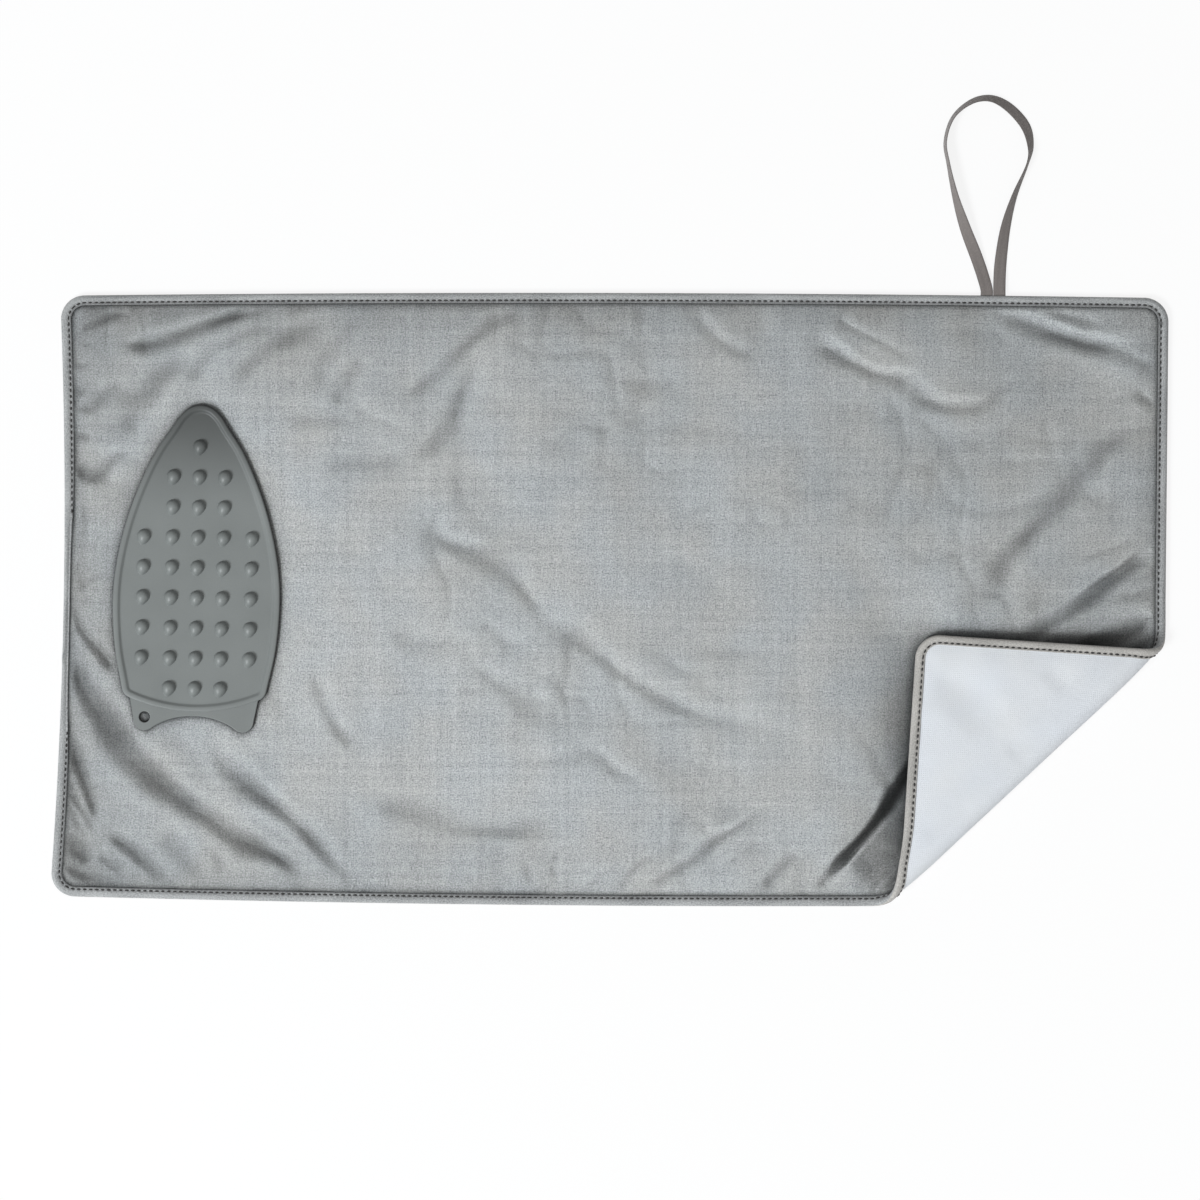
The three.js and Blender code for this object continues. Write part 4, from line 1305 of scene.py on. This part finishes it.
def noded(name, mesh, tree, values):
    """The mesh that a geometry tree makes of another, with the tree's named inputs set."""
    maker = add_piece(name, mesh)
    modifier = maker.modifiers.new(tree.name, "NODES")
    modifier.node_group = tree
    for item in tree.interface.items_tree:
        if item.in_out == "INPUT" and item.name in values:
            modifier[item.identifier] = values[item.name]
    result = bpy.data.meshes.new_from_object(maker.evaluated_get(bpy.context.evaluated_depsgraph_get()))
    maker.modifiers.remove(modifier)
    bpy.data.objects.remove(maker)
    result.name = name
    return result


def new_tree(name, inputs):
    tree = bpy.data.node_groups.new(name, "GeometryNodeTree")
    tree.interface.new_socket("Geometry", in_out="OUTPUT", socket_type="NodeSocketGeometry")
    for label, kind in [("Geometry", "NodeSocketGeometry"), *inputs]:
        tree.interface.new_socket(label, in_out="INPUT", socket_type=kind)
    return tree, Wire(tree).node("NodeGroupInput", {}, {}, "Geometry")


def repeat_tree(name, along_path):
    """Puts a shape on each point of a mesh, or at a pitch along its edges and turned to run with them."""
    inputs = [
        ("Shape", "NodeSocketObject"),
        ("Pitch", "NodeSocketFloat"),
        ("Uneven", "NodeSocketFloat"),
        ("Seed", "NodeSocketInt"),
        ("Finish", "NodeSocketMaterial"),
    ]
    tree, given = new_tree(name, inputs)
    turn = (0, 0, 0)
    if along_path:
        line = given.node("GeometryNodeMeshToCurve", {}, {"Mesh": given})
        steps = {"Curve": line, "Length": given.also("Pitch")}
        spots = given.node("GeometryNodeCurveToPoints", {"mode": "LENGTH"}, steps)
        ahead = {"Vector": spots.also("Tangent")}
        turn = given.node("FunctionNodeAlignRotationToVector", {"axis": "X"}, ahead)
    else:
        spots = given.node("GeometryNodeMeshToPoints", {}, {"Mesh": given})
    shape = given.node("GeometryNodeObjectInfo", {}, {"Object": given.also("Shape")}, "Geometry")
    spread = {0: 1 - given.also("Uneven"), 1: 1 + given.also("Uneven"), "Seed": given.also("Seed")}
    size = given.node("FunctionNodeRandomValue", {"data_type": "FLOAT_VECTOR"}, spread)
    copies = {"Points": spots, "Instance": shape, "Rotation": turn, "Scale": size}
    copies = given.node("GeometryNodeInstanceOnPoints", {}, copies)
    whole = given.node("GeometryNodeRealizeInstances", {}, {"Geometry": copies})
    painted = given.node("GeometryNodeSetMaterial", {}, {"Geometry": whole, "Material": given.also("Finish")})
    given.node("NodeGroupOutput", {}, {"Geometry": painted})
    return tree


def lathed(name, profile, sides, along_x=False):
    """A closed round shape from a profile of (place on the axis, radius), with a point at each end."""
    turns = np.linspace(0, 2 * math.pi, sides, endpoint=False)
    profile = np.asarray(profile, float)
    rings = [
        np.stack([np.full(sides, place), radius * np.cos(turns), radius * np.sin(turns)], axis=-1)
        for place, radius in profile[1:-1]
    ]
    points = np.vstack([*rings, [[profile[0, 0], 0, 0], [profile[-1, 0], 0, 0]]])
    count = len(rings) * sides
    faces = [face[::-1] for face in grid_faces(len(rings), sides, 0, False, True)]
    for k in range(sides):
        after = (k + 1) % sides
        faces.append([count, after, k])
        faces.append([count + 1, count - sides + k, count - sides + after])
    if not along_x:
        points = points[:, [1, 2, 0]]
    return plain_mesh(name, points, faces)


def seam_run(height, turned, skip_narrow):
    """The seam's line on one half of the mat, as a mesh of edges."""
    points, inward = outline_ring(TAPE_STEP)
    flat = points + inward * SEAM_INSET
    past = flat @ FOLD_OUT - FOLD_LEVEL - ROLL_TOP
    kept = past > 0.4 * MM if turned else past < -0.4 * MM
    if skip_narrow:
        kept &= left_narrowing(points) < 0.15
    following = np.roll(np.arange(len(flat)), -1)
    edges = [(k, int(following[k])) for k in range(len(flat)) if kept[k] and kept[following[k]]]
    mesh = bpy.data.meshes.new("seam")
    mesh.from_pydata(laid(flat, np.full(len(flat), height)).tolist(), edges, [])
    return mesh


def make_stitches():
    """The needle's stitches on the tape's upper side and the bobbin's below."""
    tree = repeat_tree("stitch row", True)
    half, radius = STITCH_LENGTH / 2, STITCH_DIAMETER / 2
    profile = [(-half, 0), (-0.85 * half, 0.6 * radius), (0, radius), (0.85 * half, 0.6 * radius), (half, 0)]
    stitch = add_piece("stitch", lathed("stitch", profile, 8, True))
    for kind, height in (("needle", NEEDLE_HEIGHT), ("bobbin", BOBBIN_HEIGHT)):
        for turned, ending in HALVES:
            values = {
                "Shape": stitch,
                "Pitch": STITCH_PITCH,
                "Uneven": 0.14,
                "Seed": STITCH_SEED,
                "Finish": FINISHES["seam_thread"],
            }
            name = kind + "_stitches" + ending
            rows = noded(name, seam_run(height, turned, kind == "needle"), tree, values)
            piece = finished(name, rows, "seam_thread")
            bend_at_fold(piece)
            ends = [f"fold_{kind}_thread_side", f"fold_{kind}_thread_front", f"{kind}_thread"]
            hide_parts(*([f"flap_{kind}_thread"] if turned else ends))
    bpy.data.objects.remove(stitch)


# The ribbon


def make_ribbon():
    """One ribbon, both ends sewn into the binding, twisted on edge round its loop."""
    root = laid(np.array([HALF_LENGTH - LOOP_FROM_RIGHT, HALF_WIDTH]), np.array(TAPE_MIDDLE))
    spread = (RIBBON_WIDTH + RIBBON_CLEARANCE) / 2 / MM
    exits = [RIBBON_CLEARANCE / MM, (RIBBON_CLEARANCE + RIBBON_STRAIGHT) / MM]
    stops = [
        *[(-spread, out, 0) for out in exits],
        *LOOP_POINTS,
        *[(spread, out, 0) for out in exits[::-1]],
    ]
    route = smooth_route(stops, RIBBON_STEPS)
    ahead = np.gradient(route[:, :2], axis=0)
    tail = np.linspace(-RIBBON_TAIL_DEPTH / MM, 0, 6)
    ends = [np.stack([np.full(6, side * spread), tail, 0 * tail], axis=1) for side in (-1, 1)]
    route = np.vstack([ends[0], route, ends[1][::-1]])
    ahead = np.vstack([np.tile([0, 1], (6, 1)), ahead, np.tile([0, -1], (6, 1))])
    ahead = ahead / np.linalg.norm(ahead, axis=1, keepdims=True)

    twist = np.radians(route[:, 2])[:, None]
    up = np.array([0, 0, 1])
    inward = np.stack([ahead[:, 1], -ahead[:, 0], 0 * ahead[:, 0]], axis=1)
    width = np.cos(twist) * inward + np.sin(twist) * up
    face = np.cos(twist) * up - np.sin(twist) * inward
    half_rise = (RIBBON_WIDTH * np.sin(twist) + RIBBON_THICKNESS * np.cos(twist)) / 2
    down = eased((route[:, 1:2] * MM - RIBBON_CLEARANCE) / (RIBBON_DROP - RIBBON_CLEARANCE))
    height = mixed(TAPE_MIDDLE, half_rise + RIBBON_FLOOR_GAP, down)
    middle = np.hstack([root[:2] + route[:, :2] * MM, height])

    across = np.linspace(-1, 1, RIBBON_COLUMNS) * RIBBON_WIDTH / 2
    rounded = RIBBON_THICKNESS / 2 * np.sqrt(1 - 0.75 * (across / (RIBBON_WIDTH / 2)) ** 8)
    section = np.concatenate([np.stack([across, rounded], 1), np.stack([across[::-1], -rounded[::-1]], 1)])
    points = middle[:, None] + width[:, None] * section[:, :1] + face[:, None] * section[:, 1:]
    rows, columns = points.shape[:2]
    faces = grid_faces(rows, columns, 0, False, True)
    faces += [list(range(columns))[::-1], list(range((rows - 1) * columns, rows * columns))]
    mesh = plain_mesh("ribbon", points, faces)
    run = np.concatenate([[0], np.cumsum(np.linalg.norm(np.diff(middle, axis=0), axis=1))])
    runs, places = np.repeat(run[:, None], columns, 1), np.tile(section[:, 0], (rows, 1))
    note(mesh, "strip", np.dstack([runs, places, 0 * runs]).reshape(-1, 3))
    outward_faces(mesh)
    piece = finished("ribbon_loop", mesh, "ribbon")
    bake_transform(piece)
    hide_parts("hanging_loop", "loop_tail_left", "loop_tail_right")


def outward_faces(mesh):
    """Merges doubled points and turns the faces of closed shells outwards."""
    shell = bmesh.new()
    shell.from_mesh(mesh)
    bmesh.ops.remove_doubles(shell, verts=shell.verts[:], dist=1e-6)
    bmesh.ops.recalc_face_normals(shell, faces=shell.faces[:])
    shell.to_mesh(mesh)
    shell.free()


# The iron rest


def bent(start, corner, end, count):
    """Points between two ends on a curve drawn towards a corner."""
    share = np.linspace(0, 1, count)[1:-1, None]
    return (1 - share) ** 2 * start + 2 * share * (1 - share) * corner + share**2 * end


def rest_outline():
    """The tray's outline, anticlockwise from the left heel, in the rest's own plane."""
    heel = REST_HEEL_WIDTH / 2
    sag = REST_HEEL_HEIGHT - REST_HEEL_LOW
    radius = (heel**2 + sag**2) / (2 * sag)
    end = heel - REST_HEEL_FILLET
    across = np.linspace(-end, end, HEEL_POINTS)
    arc = np.stack([across, REST_HEEL_LOW + radius - np.sqrt(radius**2 - across**2)], axis=1)
    side = np.array(REST_SIDE) * [REST_WIDTH / 2, REST_LENGTH]
    tip = side[-1:]
    side = side[:-1]
    mirrored = side[::-1] * [-1, 1]
    corner = np.array([heel, REST_HEEL_HEIGHT])
    right = bent(arc[-1], corner, side[0], 9)
    left = bent(mirrored[-1], corner * [-1, 1], arc[0], 9)
    return np.vstack([arc, right, smooth_route(np.vstack([side, tip, mirrored]), 14), left])


def inset_ring(ring, inset):
    """A ring set in along its own normals, with what would fold back drawn to the nearest clear point."""
    ahead = np.roll(ring, -1, axis=0) - np.roll(ring, 1, axis=0)
    ahead /= np.linalg.norm(ahead, axis=1, keepdims=True)
    moved = ring + np.stack([-ahead[:, 1], ahead[:, 0]], axis=1) * inset
    clear = np.array([np.linalg.norm(ring - point, axis=1).min() >= 0.97 * inset for point in moved])
    places = np.arange(len(ring))
    count = len(ring)
    known = np.concatenate([places[clear] - count, places[clear], places[clear] + count])
    return np.stack([np.interp(places, known, np.tile(moved[clear, axis], 3)) for axis in (0, 1)], axis=1)


def rest_tray(outline):
    """The rest's floor inside its rounded rim."""
    level = np.ones((len(outline), 1))
    rings = []
    for inset, height in RIM_PROFILE:
        rings.append(np.hstack([inset_ring(outline, inset * MM), height * MM * level]))
    rings = [*shrunk_rings(rings[0])[::-1], *rings, *shrunk_rings(rings[-1])]
    mesh = plain_mesh("tray", np.vstack(rings), grid_faces(len(rings), len(outline), 0, False, True))
    outward_faces(mesh)
    return mesh


def shrunk_rings(ring):
    """Rings that fill a flat ring in towards its middle."""
    middle = ring.mean(axis=0)
    return [middle + share * (ring - middle) for share in (0.7, 0.4, 0.15, 0)]


def rest_tab(outline):
    """The flat tail: two round lobes with a shallow arch between them, one pierced to hang by."""
    lobe = TAB_LOBE_SPACING / 2
    radius = TAB_LOBE_RADIUS
    first = np.linspace(math.pi, 2 * math.pi + TAB_LOBE_TURN, 24)
    left = np.stack([-lobe + radius * np.cos(first), radius + radius * np.sin(first)], axis=1)
    flank, crown = np.array([[-lobe / 2, TAB_ARCH_HEIGHT], [0, TAB_ARCH_HEIGHT]])
    half = np.vstack([left, bent(left[-1], flank, crown, 17), crown])
    lower = np.vstack([half, half[-2::-1] * [-1, 1]])
    heel = outline[:HEEL_POINTS] + [0, TAB_TUCK]
    edge = np.vstack([lower, heel[::-1]])
    turns = np.linspace(0, 2 * math.pi, 40, endpoint=False)
    circle = np.stack([np.cos(turns), np.sin(turns)], axis=1)
    hole = circle * (HANG_HOLE_RADIUS + TAB_EDGE) + [-lobe, HANG_HOLE_HEIGHT]
    curve = bpy.data.curves.new("tab", "CURVE")
    curve.dimensions = "2D"
    curve.fill_mode = "BOTH"
    curve.extrude = TAB_THICKNESS / 2 - TAB_EDGE
    curve.bevel_depth = TAB_EDGE
    curve.bevel_resolution = 2
    curve.offset = -TAB_EDGE
    for ring in (edge, hole):
        spline = curve.splines.new("POLY")
        spline.points.add(len(ring) - 1)
        spline.points.foreach_set("co", np.hstack([ring, np.zeros_like(ring)]).ravel().astype(np.float32))
        spline.use_cyclic_u = True
    shape = add_piece("tab", curve)
    mesh = bpy.data.meshes.new_from_object(shape.evaluated_get(bpy.context.evaluated_depsgraph_get()))
    bpy.data.objects.remove(shape)
    move_points(mesh, points_of(mesh) + [0, 0, TAB_THICKNESS / 2])
    return mesh


def drawn_out(nub):
    """A round nub drawn out to a blunt point towards the rest's tail."""
    x, y, z = points_of(nub).T
    ahead = np.maximum(0, -y / NUB_RADIUS)
    plan = np.stack([x * (1 - NUB_NARROWING * ahead), y * (1 + NUB_POINT * ahead)], axis=1)
    move_points(nub, np.hstack([turned_by(plan, NUB_TURN), z[:, None]]))
    return nub


def make_rest():
    """The silicone rest: a tray with domed nubs and a flat tail."""
    outline = rest_outline()
    tree = repeat_tree("nubs", False)
    spots = [
        (across, NUB_FIRST_ROW + row * NUB_ROW_PITCH, REST_FLOOR)
        for row, count in enumerate(NUB_COUNTS)
        for across in NUB_COLUMNS[:count]
    ]
    places = bpy.data.meshes.new("nub_places")
    places.from_pydata(spots, [], [])
    profile = [(height * NUB_HEIGHT, share * NUB_RADIUS) for height, share in NUB_PROFILE]
    nub = add_piece("nub", drawn_out(lathed("nub", profile, 24)))
    values = {"Shape": nub, "Pitch": 0.0, "Uneven": 0.0, "Seed": 0, "Finish": FINISHES["silicone"]}
    nubs = noded("nubs", places, tree, values)
    bpy.data.objects.remove(nub)
    mesh = joined("rest", [rest_tray(outline), rest_tab(outline), nubs])
    points = points_of(mesh)
    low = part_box("iron_rest")[0].z
    move_points(mesh, np.hstack([turned_by(points[:, :2], REST_TURN) + REST_TAIL, points[:, 2:] + low]))
    mesh.update()
    piece = finished("silicone_rest", mesh, "silicone")
    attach(piece, "iron_rest")
    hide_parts("iron_rest")


# Studio


def make_camera():
    """A long lens straight above the mat."""
    camera = bpy.data.cameras.new("camera")
    camera.lens = CAMERA_LENS
    camera.sensor_width = CAMERA_SENSOR
    camera.clip_end = 100
    holder = add_piece("camera", camera)
    holder.location = (*VIEW_MIDDLE, VIEW_WIDTH * CAMERA_LENS / CAMERA_SENSOR + PAD_THICKNESS)
    scene.camera = holder


def make_light():
    """A soft lamp on the front left, and a sky that is brightest overhead and paler again at the horizon."""
    lamp = bpy.data.lights.new("key", "AREA")
    lamp.energy = KEY_POWER
    lamp.color = KEY_COLOUR
    lamp.shape = "RECTANGLE"
    lamp.size, lamp.size_y = KEY_SIZE
    key = add_piece("key", lamp)
    key.location = KEY_PLACE
    key.rotation_euler = (-Vector(KEY_PLACE)).to_track_quat("-Z", "Y").to_euler()

    world = bpy.data.worlds.new("studio")
    world.use_nodes = True
    world.node_tree.nodes.clear()
    wire = Wire(world.node_tree)
    way = wire.node("ShaderNodeTexCoord", {}, {}, "Generated")
    ways = {0: way, 1: Vector(SKY_BRIGHTEST).normalized()}
    toward = wire.node("ShaderNodeVectorMath", {"operation": "DOT_PRODUCT"}, ways, "Value")
    overhead = tinted(ranged(toward, *SKY_SPREAD), SKY_DARK, SKY_BRIGHT)
    up = wire.node("ShaderNodeSeparateXYZ", {}, {0: way}, "Z")
    sky = tinted(ranged(up, *HORIZON_RISE), SKY_HORIZON, overhead)
    lit = wire.node("ShaderNodeBackground", {}, {"Color": sky, "Strength": 1.0})
    wire.node("ShaderNodeOutputWorld", {}, {"Surface": lit})
    scene.world = world


def make_floor():
    """A floor that looks nearly white and still shows the object's shadow."""
    finish, wire = new_finish("studio_floor")
    plain = wire.node("ShaderNodeBsdfDiffuse", {}, {"Color": FLOOR_COLOUR})
    glow = wire.node("ShaderNodeEmission", {}, {"Color": WHITE, "Strength": 1.0})
    path = wire.node("ShaderNodeLightPath", {}, {}, "Is Camera Ray")
    seen = (path + path.also("Is Glossy Ray") + path.also("Is Transmission Ray")) * FLOOR_WHITENESS
    floor = wire.node("ShaderNodeMixShader", {}, {0: seen, 1: plain, 2: glow})
    wire.node("ShaderNodeOutputMaterial", {}, {"Surface": floor})
    mesh = bpy.data.meshes.new("floor")
    corners = np.array([(-1, -1, 0), (1, -1, 0), (1, 1, 0), (-1, 1, 0)]) * FLOOR_REACH
    mesh.from_pydata((corners + [0, 0, FLOOR_HEIGHT]).tolist(), [], [(0, 1, 2, 3)])
    mesh.materials.append(finish)
    add_piece("studio_floor", mesh)


make_camera()
make_light()
make_floor()
make_quilt()
make_binding()
make_stitches()
make_ribbon()
make_rest()

scene.view_settings.view_transform = "Standard"
